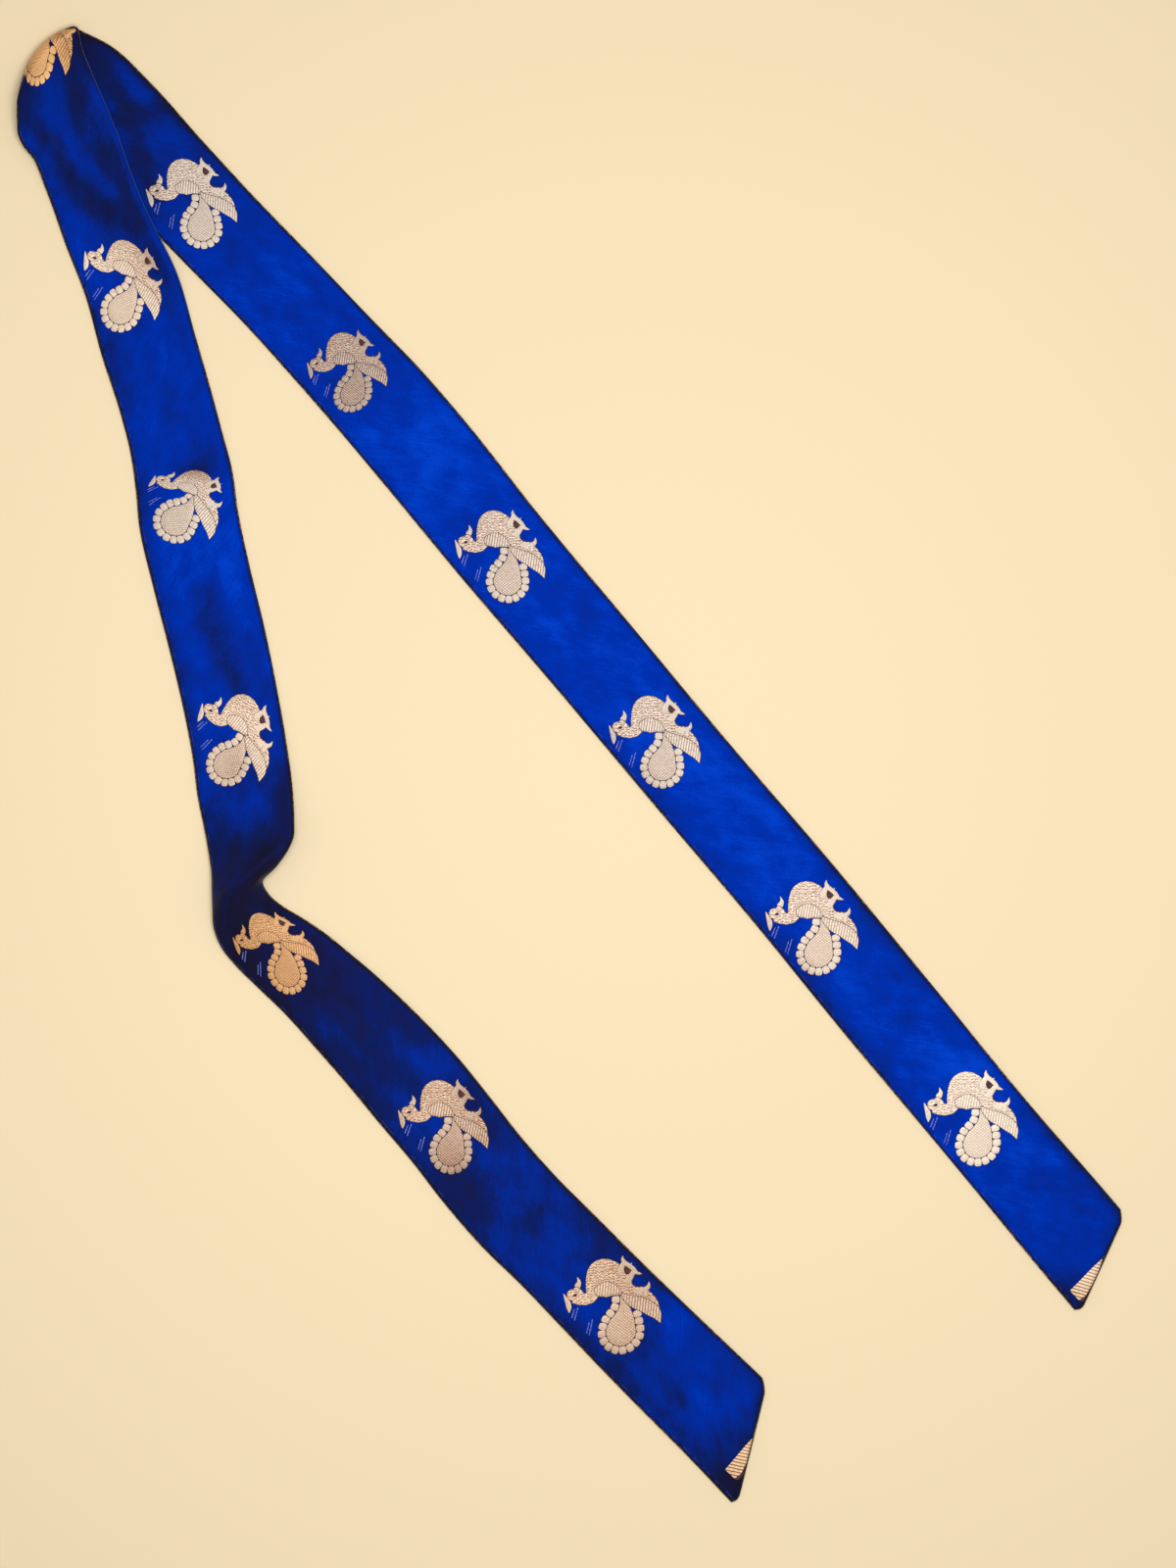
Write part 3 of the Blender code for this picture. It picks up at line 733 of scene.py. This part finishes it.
def through(points, spans):
    """A smooth open curve through some points, of any number of columns."""
    points = np.asarray(points, dtype=float)
    padded = np.concatenate([[2 * points[0] - points[1]], points, [2 * points[-1] - points[-2]]])
    t = np.linspace(0.0, 1.0, spans, endpoint=False)[:, None]
    parts = []
    for p0, p1, p2, p3 in zip(padded, padded[1:], padded[2:], padded[3:]):
        square, cubic = 2 * p0 - 5 * p1 + 4 * p2 - p3, 3 * p1 - p0 - 3 * p2 + p3
        parts.append(0.5 * (2 * p1 + (p2 - p0) * t + square * t**2 + cubic * t**3))
    return np.concatenate([*parts, points[-1:]])


def brush(points, wider=0.0, spans=6, cap=5):
    """The outline of a stroke; each row of points is x, y and the stroke's half-width there."""
    curve = through(points, spans)
    centre, half = curve[:, :2], np.maximum(curve[:, 2], 0.02) + wider
    ahead = unit(np.gradient(centre, axis=0))
    left = np.stack([-ahead[:, 1], ahead[:, 0]], axis=1)
    turn = np.linspace(0.0, math.pi, cap + 2)[1:-1, None]
    end = centre[-1] + half[-1] * (np.cos(turn) * -left[-1] + np.sin(turn) * ahead[-1])
    start = centre[0] + half[0] * (np.cos(turn) * left[0] - np.sin(turn) * ahead[0])
    sides = centre - half[:, None] * left, (centre + half[:, None] * left)[::-1]
    return np.concatenate([sides[0], end, sides[1], start])


def around(count):
    """Cosines and sines of even steps round a circle."""
    turn = np.arange(count) * 2 * math.pi / count
    return np.cos(turn), np.sin(turn)


def oval(x, y, wide, tall):
    """An upright oval, by its two half-widths."""
    cos, sin = around(OVAL_POINTS)
    return np.stack([x + wide * cos, y + tall * sin], axis=1)


def line(half, *points):
    """A thin stroke of one half-width."""
    return brush([(x, y, half) for x, y in points], cap=2)


def rimmed(weave, strokes, rim, cap=5):
    """Strokes that join into one form with a drawn line round it, which is also painted shadow
    round the raised zari.
    """
    under = [(OUTLINE_AND_SHADOW, brush(stroke, rim, cap=cap)) for stroke in strokes]
    return under + [(weave, brush(stroke, cap=cap)) for stroke in strokes]


# The peacock, in mm about its middle: the middle line of each stroke and its half-width.
PLUME = [
    (3.9, 5.4, 0.3), (4.9, 1.6, 1.6), (5.4, -2.2, 3.3), (4.9, -6.2, 5.4), (3.9, -9.8, 6.9),
    (3.3, -12.8, 7.6),
]
BODY = [
    (-10.8, 6.5, 2.4), (-10, 9.8, 3.6), (-8, 14, 5.7), (-5, 17.2, 7.3), (-0.2, 15.8, 6.8),
    (4.6, 12, 5), (9, 8.4, 3.9), (13.5, 5.8, 2.8), (17.5, 3.4, 2.2), (20.3, 0.2, 1.7),
    (22, -3.5, 0.9), (23, -6.5, 0.3),
]
HEAD = [
    (-8.6, 6.9, 1.7), (-11.2, 5.6, 2.7), (-14.6, 5.1, 2.9), (-17.6, 6.4, 3.7), (-19.2, 7.5, 3.9),
    (-20.4, 7.8, 2.9),
]
LOBE = [(-6.2, 8.7, 3), (-3.2, 9, 3.85), (0.3, 8.3, 2.9), (3, 6.8, 1.4), (4.8, 6.1, 0.3)]
LEAF = [
    (4.2, 5.9, 0.4), (7.2, 3.2, 1.9), (11, 1, 2.9), (15, -0.9, 3.2), (18.6, -3.3, 3.3),
    (21.3, -6.3, 2.4), (23, -10.6, 0.15),
]
CREST = [(-17.6, 12.2, 1.5), (-16.9, 13.6, 1.15), (-17, 15, 0.6), (-17.6, 16.5, 0.1)]
BILL = [
    (-24.9, 8.6, 0.15), (-24, 6.3, 0.75), (-22.9, 3.8, 1.25), (-22.5, 1.3, 1.15),
    (-22.5, -0.8, 0.3),
]
FOOT = [
    (5.9, 25, 0.15), (5.9, 23.2, 0.85), (6.9, 21.4, 1.15), (8.9, 19.9, 1.05), (10.9, 18, 1.05),
    (12.4, 15.9, 0.9), (14.9, 15, 0.2),
]
FIRST_LEG = [(6.4, 21.8, 1.1), (5.4, 20, 1.3), (4.4, 17.4, 1.5)]
SECOND_LEG = [(11.3, 16.8, 1.1), (10.2, 15.4, 1.3), (8.2, 12.6, 1.7)]
SPUR = [(9.3, 19.9, 0.6), (10.4, 21.1, 0.1)]
HOOK = [(12.4, 6.4, 1.6), (16.2, 6.9, 1.3), (18, 8.4, 0.9), (18.3, 10.8, 0.1)]
BLOCKS = 16
BLOCK_REACH = 4.3
BLOCK_ROUND = 0.6  # 1 is an oval, 0 a square
FIRST_BLOCK, LAST_BLOCK = (2.0, 3.2), (12.1, -4.6)


def plume_parts():
    """The paisley-shaped tail: a teardrop of scales with a row of rounded blocks round it."""
    drop = brush(PLUME, spans=8, cap=17)
    ahead = unit(np.roll(drop, -1, axis=0) - np.roll(drop, 1, axis=0))
    out = np.stack([ahead[:, 1], -ahead[:, 0]], axis=1)
    ring = drop + out * BLOCK_REACH / 2
    first, last = (int(np.argmin(np.hypot(*(ring - end).T))) for end in (FIRST_BLOCK, LAST_BLOCK))
    ring, out = ring[first : last + 1], out[first : last + 1]
    at = np.concatenate([[0.0], np.cumsum(np.linalg.norm(np.diff(ring, axis=0), axis=1))])
    pitch = at[-1] / (BLOCKS - 1)
    u, v = ((np.sign(c) * np.abs(c) ** BLOCK_ROUND)[:, None] for c in around(OVAL_POINTS))
    rims, blocks = [], []
    for i in range(BLOCKS):
        here = [np.interp(i * pitch, at, table) for table in (*ring.T, *out.T)]
        middle, up = np.array(here[:2]), np.array(here[2:]) / np.hypot(*here[2:])
        beside = np.array([up[1], -up[0]])
        # The blocks' outlines draw the lines between them and are painted shadow round the row.
        for weave, grow, found in ((OUTLINE_AND_SHADOW, 0.12, rims), (PLAIN, -0.13, blocks)):
            wide, tall = pitch / 2 + grow, BLOCK_REACH / 2 + grow
            found.append((weave, middle + wide * u * beside + tall * v * up))
    scales = [(OUTLINE_AND_SHADOW, brush(PLUME, 0.2, 8, 17)), (SCALES, brush(PLUME, -0.16, 8, 17))]
    return rims + blocks + scales


def peacock_parts():
    """One woven peacock, about 48 by 51 mm, as outlines in draw order, each over those before."""
    feet = rimmed(PLAIN, [FOOT, FIRST_LEG, SECOND_LEG, SPUR, HOOK], 0.2, cap=3)
    crest = rimmed(PLAIN, [CREST], 0.2)
    return [
        *plume_parts(),
        *feet[:5],
        crest[0],
        (OUTLINE_AND_SHADOW, oval(7.9, 17.6, 2.3, 2.6)),
        *rimmed(WAVES, [BODY, HEAD], 0.24),
        (OUTLINE_AND_SHADOW, oval(13.7, 11.3, 4.0, 2.95)),
        (CUT_OUT, oval(14.1, 11.6, 4.0, 2.75)),
        (CUT_OUT, oval(17.4, 12.4, 2.2, 2.2)),
        (OUTLINE_AND_SHADOW, oval(7.9, 17.6, 1.7, 2.1)),
        *rimmed(STRIPES, [LOBE], 0.3),
        *rimmed(STRIPES, [LEAF], 0.3),
        *feet[5:],
        crest[1],
        (OUTLINE_AND_SHADOW, line(0.15, (-19.4, 11.9), (-17.4, 11.4), (-15.8, 10.2), (-14.9, 8.3))),
        (OUTLINE_AND_SHADOW, brush([(-20.1, 7.4, 0.35), (-19.0, 7.6, 0.8), (-17.9, 7.9, 0.1)])),
        *rimmed(PLAIN, [BILL], 0.18),
        # Floats of the weft that run on under the bill and inside the curve of the neck.
        (FLOATS, line(0.3, (-18.0, 1.0), (-19.0, -2.0), (-20.0, -5.0))),
        (FLOATS, line(0.25, (-19.8, 0.4), (-20.6, -1.8), (-21.3, -3.8))),
        (FLOATS, line(0.25, (-10.9, -5.6), (-11.8, -9.4), (-12.8, -13.2))),
        (FLOATS, line(0.2, (-12.6, -6.8), (-13.4, -9.8), (-14.2, -12.4))),
    ]


# The striped selvedge that shows as a long triangle at each end, in mm about its middle.
SELVEDGE = [
    (-7.4, -4.2), (-4.9, -6.9), (-2.6, -9.3), (1.0, -6.9), (4.6, -0.5), (7.9, 6.7), (10.1, 13.3),
    (4.6, 8.3), (-1.4, 2.0),
]
SEAM = [(-1.6, -9.6), (1.5, -7.4), (5.1, -0.9), (8.3, 6.3), (10.5, 13.6)]


def selvedge_parts():
    """A triangle of gold and white bars, with the dark seam and its whipping outside it."""
    return [
        (OUTLINE_AND_SHADOW, line(0.75, *SEAM)),
        (BARS, np.array(SELVEDGE)),
        (OUTLINE_AND_SHADOW, line(0.16, *((x - 0.4, y) for x, y in SEAM))),
    ]


def anticlockwise(outline):
    """The outline turned so that its inside is on the left."""
    x, y = outline.T
    area = np.sum(x * np.roll(y, -1) - y * np.roll(x, -1))
    return outline if area > 0 else outline[::-1]


TRIANGLE_TALL = 0.87  # an even triangle's height, by its side
LEAST_GAP = 0.4  # of the grid, between its points and the outlines'
MERGE_WITHIN = 1e-4


def flat_motif(parts, grid):
    """All parts flattened into one sheet of triangles: points, triangles and each one's weave."""
    points, loops = [], []
    for _, outline in parts:
        loops.append(list(range(len(points), len(points) + len(outline))))
        points.extend(map(tuple, anticlockwise(outline)))
    edges = np.array(points)
    low, high = edges.min(axis=0), edges.max(axis=0)
    # Rows of inner points, each moved half a step, so that their triangles are nearly even.
    columns = np.arange(low[0], high[0], grid)
    across, up = np.meshgrid(columns, np.arange(low[1], high[1], grid * TRIANGLE_TALL))
    across = across + (np.arange(len(across)) % 2)[:, None] * grid / 2
    free = np.stack([across.ravel(), up.ravel()], axis=1)
    gaps = np.hypot(*(free[:, None, :] - edges[None, :, :]).transpose(2, 0, 1))
    points.extend(map(tuple, free[gaps.min(axis=1) > grid * LEAST_GAP]))
    vertices, _, faces, _, _, sources = geometry.delaunay_2d_cdt(
        [Vector(p) for p in points], [], loops, 0, MERGE_WITHIN, True
    )
    woven = [parts[max(source)][0] if source else CUT_OUT for source in sources]
    kept = [i for i, weave in enumerate(woven) if weave != CUT_OUT]
    triangles = np.array([faces[i] for i in kept])
    return np.array([tuple(v) for v in vertices]), triangles, np.array(woven)[kept]


FLOAT_HEIGHT = 0.15  # mm that the motif's floats stand above its rim
LINE_HEIGHT = 0.06
SHEET_THICK = 0.15


def motif_relief(count, faces, weaves):
    """Heights of the weave: the floats stand up, the outline threads lie low, the rim is level."""
    height = np.full(count, FLOAT_HEIGHT)
    height[faces[weaves == OUTLINE_AND_SHADOW]] = LINE_HEIGHT
    sides = np.sort(np.concatenate([faces[:, [0, 1]], faces[:, [1, 2]], faces[:, [2, 0]]]), axis=1)
    sides, times = np.unique(sides, axis=0, return_counts=True)
    height[sides[times == 1]] = 0.0
    return height


MOTIF_CLEAR = 0.08  # how far the motif's lowest threads stand off the cloth's face
FOLD_CLEAR = 0.16  # and how much more round the tight turn of the fold
FOLD_ALONG, FOLD_REACH = 862.0, 18.0
BIRD_EDGE_CLEAR = 0.8  # mm beside the pressed edge that a peacock leaves free
SELVEDGE_EDGE_CLEAR = 0.25
# The zari takes the painted shade of the silk's ripples under it, held within this range.
SHADE_TAKEN = (-0.4, 0.1)  # the range of the silk's ripple tones that the zari follows

# Each motif that shows: how far along and across the cloth its middle is, how warm its zari looks,
# from silver 0 to deep gold 1, how much it is darkened for dullness and painted shade, on top of
# the painted shade it takes from the silk's ripples, how much its breadth and its two halves
# (behind that middle and ahead) are drawn together, and how far the fold's own shape turns it, in
# degrees.
Place = namedtuple(
    "Place", "along across warmth dull narrow behind ahead turn", defaults=(1.0, 1.0, 1.0, 0.0)
)
FRONT_BIRDS = table_of(
    Place,
    (115.5, 0.553, 0.12, -0.06, 1.06), (247.1, 0.571, 0.12, 0.1, 1.04), (376.3, 0.57, 0, 0.22),
    (504.1, 0.561, 0, 0.22, 0.98), (631.3, 0.55, -0.16, 0.45, 0.94, 0.8, 0.84),
    (753, 0.51, -0.12, 0.13, 0.95),
)
FOLD_BIRD = Place(858.8, 0.35, 1.35, -0.26, 0.86, 1, 1.25, 15)
BACK_BIRDS = table_of(
    Place,
    (990.8, 0.57, 0.22, 0.03, 0.95), (1108.4, 0.532, 0.02, 0.17, 0.98, 0.6),
    (1239.9, 0.538, 0.23, 0.05, 0.96), (1364.6, 0.529, 1.2, 0.2, 0.82, 0.98, 0.98),
    (1494.1, 0.526, 0.33, 0.29), (1624.6, 0.496, 0.4, 0.14, 1.08, 1.02, 1.02),
)
PITCH = 128.0  # between one peacock and the next on the side that faces down
END_CLEAR = 30.0


def bird_places(side):
    """Where every peacock of a panel lies, on the side that shows and on under the scarf."""
    places = list(FRONT_BIRDS if side > 0 else BACK_BIRDS)
    along = (places[-1] if side > 0 else FOLD_BIRD).along + side * PITCH
    while ENDS[0] + END_CLEAR < along < ENDS[1] - END_CLEAR:
        places.append(Place(along, across=0.54, warmth=0.1, dull=0.1))
        along += side * PITCH
    return places


def lay_on_cloth(points, height, place, side):
    """Flat motif points, in mm about its middle, laid on a panel around one place, with how far
    inside the edge and how deep in a ripple's painted shade they are."""
    run, span = slopes_of_surface(place.along, place.across)
    ahead = run / np.linalg.norm(run)
    aside = span - ahead * np.dot(ahead, span)
    aside /= np.linalg.norm(aside)
    turn = math.radians(CUT_ANGLE + place.turn)
    cos, sin = math.cos(turn), math.sin(turn)
    x, y = points.T
    go_ahead = side * (-sin * x + cos * y)
    go_ahead = go_ahead * np.where(go_ahead < 0.0, place.behind, place.ahead)
    go_aside = (-cos * x - sin * y) * place.narrow
    target = go_ahead[:, None] * ahead + go_aside[:, None] * aside
    moves, *_ = np.linalg.lstsq(np.stack([run, span], axis=1), target.T, rcond=None)
    along, across = place.along + moves[0], place.across + moves[1]
    inside = inside_edge(along, across, *slanted(np.array(ENDS)[:, None], across))
    face, outward = panel_face(along, across, side, inside)
    turning = np.exp(-(((along - FOLD_ALONG) / FOLD_REACH) ** 4))
    clear = MOTIF_CLEAR + FOLD_CLEAR * turning * upper_share(along, side)
    shade = -np.clip(sum_of_ripples(along, across, side, "tone"), *SHADE_TAKEN)
    return face + (clear + height)[:, None] * outward, inside, shade


def lay_motifs(name, side, materials, flat, places, edge_clear):
    """All the motifs of one kind on one panel, as one piece."""
    points, faces, weaves = flat
    relief = motif_relief(len(points), faces, weaves)
    vertices, triangles, slots, dull_and_shade_values = [], [], [], []
    for i, place in enumerate(places):
        laid, inside, shade = lay_on_cloth(points, relief, place, side)
        on_cloth = np.all(inside[faces] > edge_clear, axis=1)
        vertices.append(world(laid))
        triangles.append(faces[on_cloth] + i * len(points))
        slots.append(weaves[on_cloth])
        # A motif's darkening: the painted shade of the ripples under it, with its own dullness.
        dull_and_shade_values.append(shade + place.dull)
    used, corners = np.unique(np.concatenate(triangles), return_inverse=True)
    whose, which = used // len(points), used % len(points)
    warmth = np.array([place.warmth for place in places])[whose]
    marks = {"warmth": warmth, "dull": np.concatenate(dull_and_shade_values)[used]}
    vertices, triangles = np.concatenate(vertices)[used], corners.reshape(-1, 3).tolist()
    made = add_mesh(name, vertices, triangles, points[which] * MM, marks, materials)
    made.data.polygons.foreach_set("material_index", np.concatenate(slots).astype(np.int32))
    thicken(made, SHEET_THICK * MM)
    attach(made, "root")


# ---- zari weaves


def bands(add, drawn, pitch, turn, distortion, low, high):
    """Bands of the given pitch in mm across the motif, as 0 to 1."""
    turned = add("Mapping", {"Vector": drawn, "Rotation": (0.0, 0.0, turn)})
    waves = {
        "Vector": turned,
        "Scale": math.pi / 10 / (pitch * MM),  # a Wave node's bands are pi / 10 apart
        "Distortion": distortion,
        "Detail": 1.0,
        "Detail Scale": 1.5,
    }
    return add("MapRange", (add("TexWave", waves, "Fac"), low, high))


WAVE_PITCH = 0.0013  # metres between the wave weave's zigzag lines
WAVE_HALF = 0.0009  # half a zigzag's length
WAVE_SLOPE = 0.75
WAVE_DRIFT = 0.0032  # how far the lines wander


def wave_pattern(add, drawn):
    """Zigzag weft lines, broken up."""
    apart = add("SeparateXYZ", (drawn,)).node.outputs
    drift = add("Math", (mottled(add, drawn, 0.004, 0.004), WAVE_DRIFT), operation="MULTIPLY")
    drifted = add("Math", (apart["Y"], drift), operation="ADD")
    zigzag = add("Math", (apart["X"], WAVE_HALF), operation="PINGPONG")
    height = add("Math", (zigzag, WAVE_SLOPE, drifted), operation="MULTIPLY_ADD")
    phase = add("Math", (height, 2 * math.pi / WAVE_PITCH), operation="MULTIPLY")
    lines = add("MapRange", (add("Math", (phase,), operation="SINE"), -0.3, 0.7))
    broken = add("MapRange", (mottled(add, drawn, 0.0013, 0.0009), 0.36, 0.52))
    return add("Math", (lines, broken), operation="MULTIPLY")


def stripe_pattern(add, drawn):
    """Upright stripes 1.4 mm apart."""
    return add("Math", (bands(add, drawn, 1.4, 0.15, 0.4, 0.35, 0.9), 0.8), operation="MULTIPLY")


def scale_pattern(add, drawn):
    """A net of small scales: two slanting sets of soft lines 1.15 mm apart."""
    sets = [bands(add, drawn, 1.15, turn, 0.8, 0.50, 1.0) for turn in (0.9, -0.9)]
    return add("Math", sets, operation="MAXIMUM")


def plain_pattern(add, drawn):
    """Plain weave: fine slanting ribs 0.8 mm apart."""
    ribs = bands(add, drawn, 0.8, 0.5, 0.5, 0.3, 1.2)
    return add("Math", (ribs, 0.28, 0.08), operation="MULTIPLY_ADD")


def bar_pattern(add, drawn):
    """Bars 1.75 mm apart that slope down to the right."""
    return bands(add, drawn, 1.75, math.pi / 2 + 0.27, 0.6, 0.5, 0.9)


PALE_RUDDY = 0.10  # how much of a weave's ruddiness its pale thread has too


def zari_material(name, settings, pattern, depth, ruddy):
    """Metal-wrapped thread, woven in: pale and slightly glossy, its pattern in darker weft, which
    is more golden where ruddy is high; dullness and painted shade darken it towards that weft."""
    material, add, dress = new_material(name)
    drawn = add("UVMap", uv_map="cloth")
    warmth, dull = (
        add("Attribute", output="Fac", attribute_name=mark) for mark in ("warmth", "dull")
    )
    warm = add("Math", (PALE_RUDDY, ruddy, warmth), operation="MULTIPLY_ADD")
    pale = add("Mix", {0: warm, 6: settings.silver, 7: settings.gold}, **COLOURS)
    warm = add("Math", (warmth, ruddy), operation="ADD")
    deep = add("Mix", {0: warm, 6: settings.tarnish, 7: settings.amber}, **COLOURS)
    speckle = add("MapRange", (mottled(add, drawn, 0.0009, 0.0009), 0.42, 0.72, 0.0, 0.6))
    weft = add("Math", (pattern(add, drawn), depth), operation="MULTIPLY")
    weft = add("Math", (weft, speckle), operation="MAXIMUM")
    # Dullness and the painted shade from the silk's ripples darken the zari towards its weft.
    weft = add("Math", (weft, dull), operation="ADD")
    low = add("Math", (1.0, weft), operation="SUBTRACT")
    dress({
        "Base Color": add("Mix", {0: weft, 6: pale, 7: deep}, **COLOURS),
        "Normal": add("Bump", {"Height": low, "Strength": 0.4, "Distance": 0.0002}),
        "Metallic": 0.15,
        "Roughness": 0.45,
    })
    return material


def thread_material(name, low, high):
    """Dyed silk thread that shows between the floats, from one shade to another."""
    material, add, dress = new_material(name)
    drawn = add("UVMap", uv_map="cloth")
    speckle = add("MapRange", (mottled(add, drawn, 0.0012, 0.0008), 0.38, 0.62))
    dress({
        "Base Color": add("Mix", {0: speckle, 6: low, 7: high}, **COLOURS),
        "Roughness": 0.6,
        "Specular IOR Level": 0.2,
    })
    return material


def zari_materials(settings):
    """The motifs' weaves, in the order of their numbers; with each its pattern's depth and how
    ruddy it is."""
    weaves = (
        ("zari_wave_weave", wave_pattern, 0.92, 0.60),
        ("zari_striped_weave", stripe_pattern, 0.85, 0.20),
        ("zari_scale_weave", scale_pattern, 0.62, 0.35),
        ("zari_plain_weave", plain_pattern, 1.50, 0.0),
        ("zari_striped_selvedge", bar_pattern, 1.10, 0.4),
    )
    made = [zari_material(weave, settings, *look) for weave, *look in weaves]
    made.append(thread_material("lilac_weft_floats", settings.float_low, settings.float_high))
    # The outline's thread colours are also painted shadow round the raised zari.
    made.append(thread_material("maroon_outline_and_shadow", settings.line_and_shadow_low, settings.line_and_shadow_high))
    return made


class ScarfZari(bpy.types.PropertyGroup):
    """The woven peacocks and the striped selvedge."""

    grid: measure("Mesh grid", "Between the motif's inner points", 0.0016)
    fine_grid: measure("Fine grid", "The same for the motif on the fold", 0.0008)
    silver: tint("Silver zari", "Pale thread of a cool motif", "#F4EADC")
    gold: tint("Gold zari", "Pale thread of a warm motif", "#F2BE80")
    tarnish: tint("Tarnished silver", "Darker weft of a cool motif", "#72503E")
    amber: tint("Amber", "Darker weft of a warm motif", "#80420A")
    # The line colours are also painted shadow round the raised zari.
    line_and_shadow_low: tint("Line", "Drawn line of a motif, darkest", "#241020")
    line_and_shadow_high: tint("Line, light", "Drawn line of a motif, lightest", "#5E342A")
    float_low: tint("Float, dark", "Weft floats beside a motif", "#1A3CB0")
    float_high: tint("Float, light", "Weft floats beside a motif", "#8890D4")


class SCARF_OT_peacocks(bpy.types.Operator):
    """Woven zari peacocks along both panels"""

    bl_idname = "scarf.peacocks"
    bl_label = "Zari peacocks"

    def execute(self, context):
        settings = context.scene.scarf_zari
        deselect()
        flat = flat_motif(peacock_parts(), settings.grid / MM)
        materials = zari_materials(settings)
        for cut, side in (("front", 1), ("back", -1)):
            name = f"zari_{cut}_peacocks"
            lay_motifs(name, side, materials, flat, bird_places(side), BIRD_EDGE_CLEAR)
        # The fold turns in a few millimetres, so its motif needs a finer mesh.
        fine = flat_motif(peacock_parts(), settings.fine_grid / MM)
        lay_motifs("zari_fold_peacock", -1, materials, fine, [FOLD_BIRD], BIRD_EDGE_CLEAR)
        return {"FINISHED"}


SELVEDGE_PLACES = {
    "right": (1, Place(10.4, 0.756, 0.45, -0.42)),
    "left": (-1, Place(1728.9, 0.694, 0.6, -0.40)),
}


class SCARF_OT_selvedges(bpy.types.Operator):
    """Striped zari selvedge at the point of both ends"""

    bl_idname = "scarf.selvedges"
    bl_label = "End selvedges"

    def execute(self, context):
        settings = context.scene.scarf_zari
        deselect()
        flat = flat_motif(selvedge_parts(), settings.fine_grid / MM / 2)
        materials = zari_materials(settings)
        for end, (side, place) in SELVEDGE_PLACES.items():
            lay_motifs(f"zari_{end}_selvedge", side, materials, flat, [place], SELVEDGE_EDGE_CLEAR)
        return {"FINISHED"}


# ---- stage


class ScarfStage(bpy.types.PropertyGroup):
    """The table, the lights and the camera."""

    table_colour: tint("Table", "Cream paper", "#EFDDBA")
    camera_height: measure("Camera height", "Above the table", 2.6)
    key_power: FloatProperty(name="Key light", description="Power in watts", default=12.2)
    sky_colour: tint("Fill colour", "Warm light from the room", "#FFF8EC")
    sky: FloatProperty(name="Fill light", description="Strength of the even light", default=0.44)


TABLE_SIZE = 6.0
FRAME_LONG = 0.832  # metres of table that the picture's long side takes in
VIEW_CENTRE = (8.58, -11.44)  # mm on the table
SENSOR = 36.0
KEY_PLACE = (0.05, 0.02, 1.25)
KEY_SIZE = 0.85


class SCARF_OT_stage(bpy.types.Operator):
    """Cream table, soft light and the camera straight above"""

    bl_idname = "scarf.stage"
    bl_label = "Table, light and camera"

    def execute(self, context):
        settings = context.scene.scarf_stage
        scene = context.scene
        deselect()
        bpy.ops.mesh.primitive_plane_add(size=TABLE_SIZE, location=(0.0, 0.0, 0.0))
        table = context.object
        table.name = "table"
        material, _, dress = new_material("cream_paper")
        dress({"Base Color": settings.table_colour, "Roughness": 0.9, "Specular IOR Level": 0.0})
        table.data.materials.append(material)
        room = bpy.data.worlds.new("studio")
        room.use_nodes = True
        background = room.node_tree.nodes["Background"]
        feed(background, {"Color": settings.sky_colour, "Strength": settings.sky})
        scene.world = room
        bpy.ops.object.light_add(type="AREA", location=KEY_PLACE)
        key = context.object
        set_all(key.data, shape="DISK", size=KEY_SIZE, energy=settings.key_power)
        key.rotation_euler = (-Vector(KEY_PLACE)).to_track_quat("-Z", "Y").to_euler()
        x, y, _ = world((*VIEW_CENTRE, 0.0))
        bpy.ops.object.camera_add(location=(x, y, settings.camera_height), rotation=(0.0, 0.0, 0.0))
        scene.camera = context.object
        lens = SENSOR * settings.camera_height / FRAME_LONG
        view = scene.camera.data
        set_all(view, type="PERSP", sensor_width=SENSOR, lens=lens, clip_start=0.01, clip_end=50.0)
        scene.view_settings.view_transform = "Standard"
        return {"FINISHED"}


class SCARF_PT_pieces(bpy.types.Panel):
    """Lists the scarf's pieces in the sidebar"""

    bl_idname = "SCARF_PT_pieces"
    bl_label = "Skinny silk scarf"
    bl_space_type = "VIEW_3D"
    bl_region_type = "UI"
    bl_category = "Scarf"

    def draw(self, context):
        for operator in OPERATORS:
            self.layout.operator(operator.bl_idname)
        for name, group in GROUPS.items():
            box = self.layout.box()
            for field in group.__annotations__:
                box.prop(getattr(context.scene, name), field)


GROUPS = {
    "scarf_silk": ScarfSilk,
    "scarf_edge": ScarfEdge,
    "scarf_zari": ScarfZari,
    "scarf_stage": ScarfStage,
}
OPERATORS = (
    SCARF_OT_silk_panels,
    SCARF_OT_edge_thread,
    SCARF_OT_peacocks,
    SCARF_OT_selvedges,
    SCARF_OT_stage,
)
CLASSES = (*GROUPS.values(), *OPERATORS, SCARF_PT_pieces)


def register():
    for item in CLASSES:
        bpy.utils.register_class(item)
    for name, group in GROUPS.items():
        setattr(bpy.types.Scene, name, PointerProperty(type=group))


def unregister():
    for name in GROUPS:
        delattr(bpy.types.Scene, name)
    for item in reversed(CLASSES):
        bpy.utils.unregister_class(item)


def main():
    """Builds the whole scarf."""
    register()
    bpy.ops.scarf.silk_panels()
    bpy.ops.scarf.edge_thread()
    bpy.ops.scarf.peacocks()
    bpy.ops.scarf.selvedges()
    bpy.ops.scarf.stage()


if __name__ == "__main__":
    main()
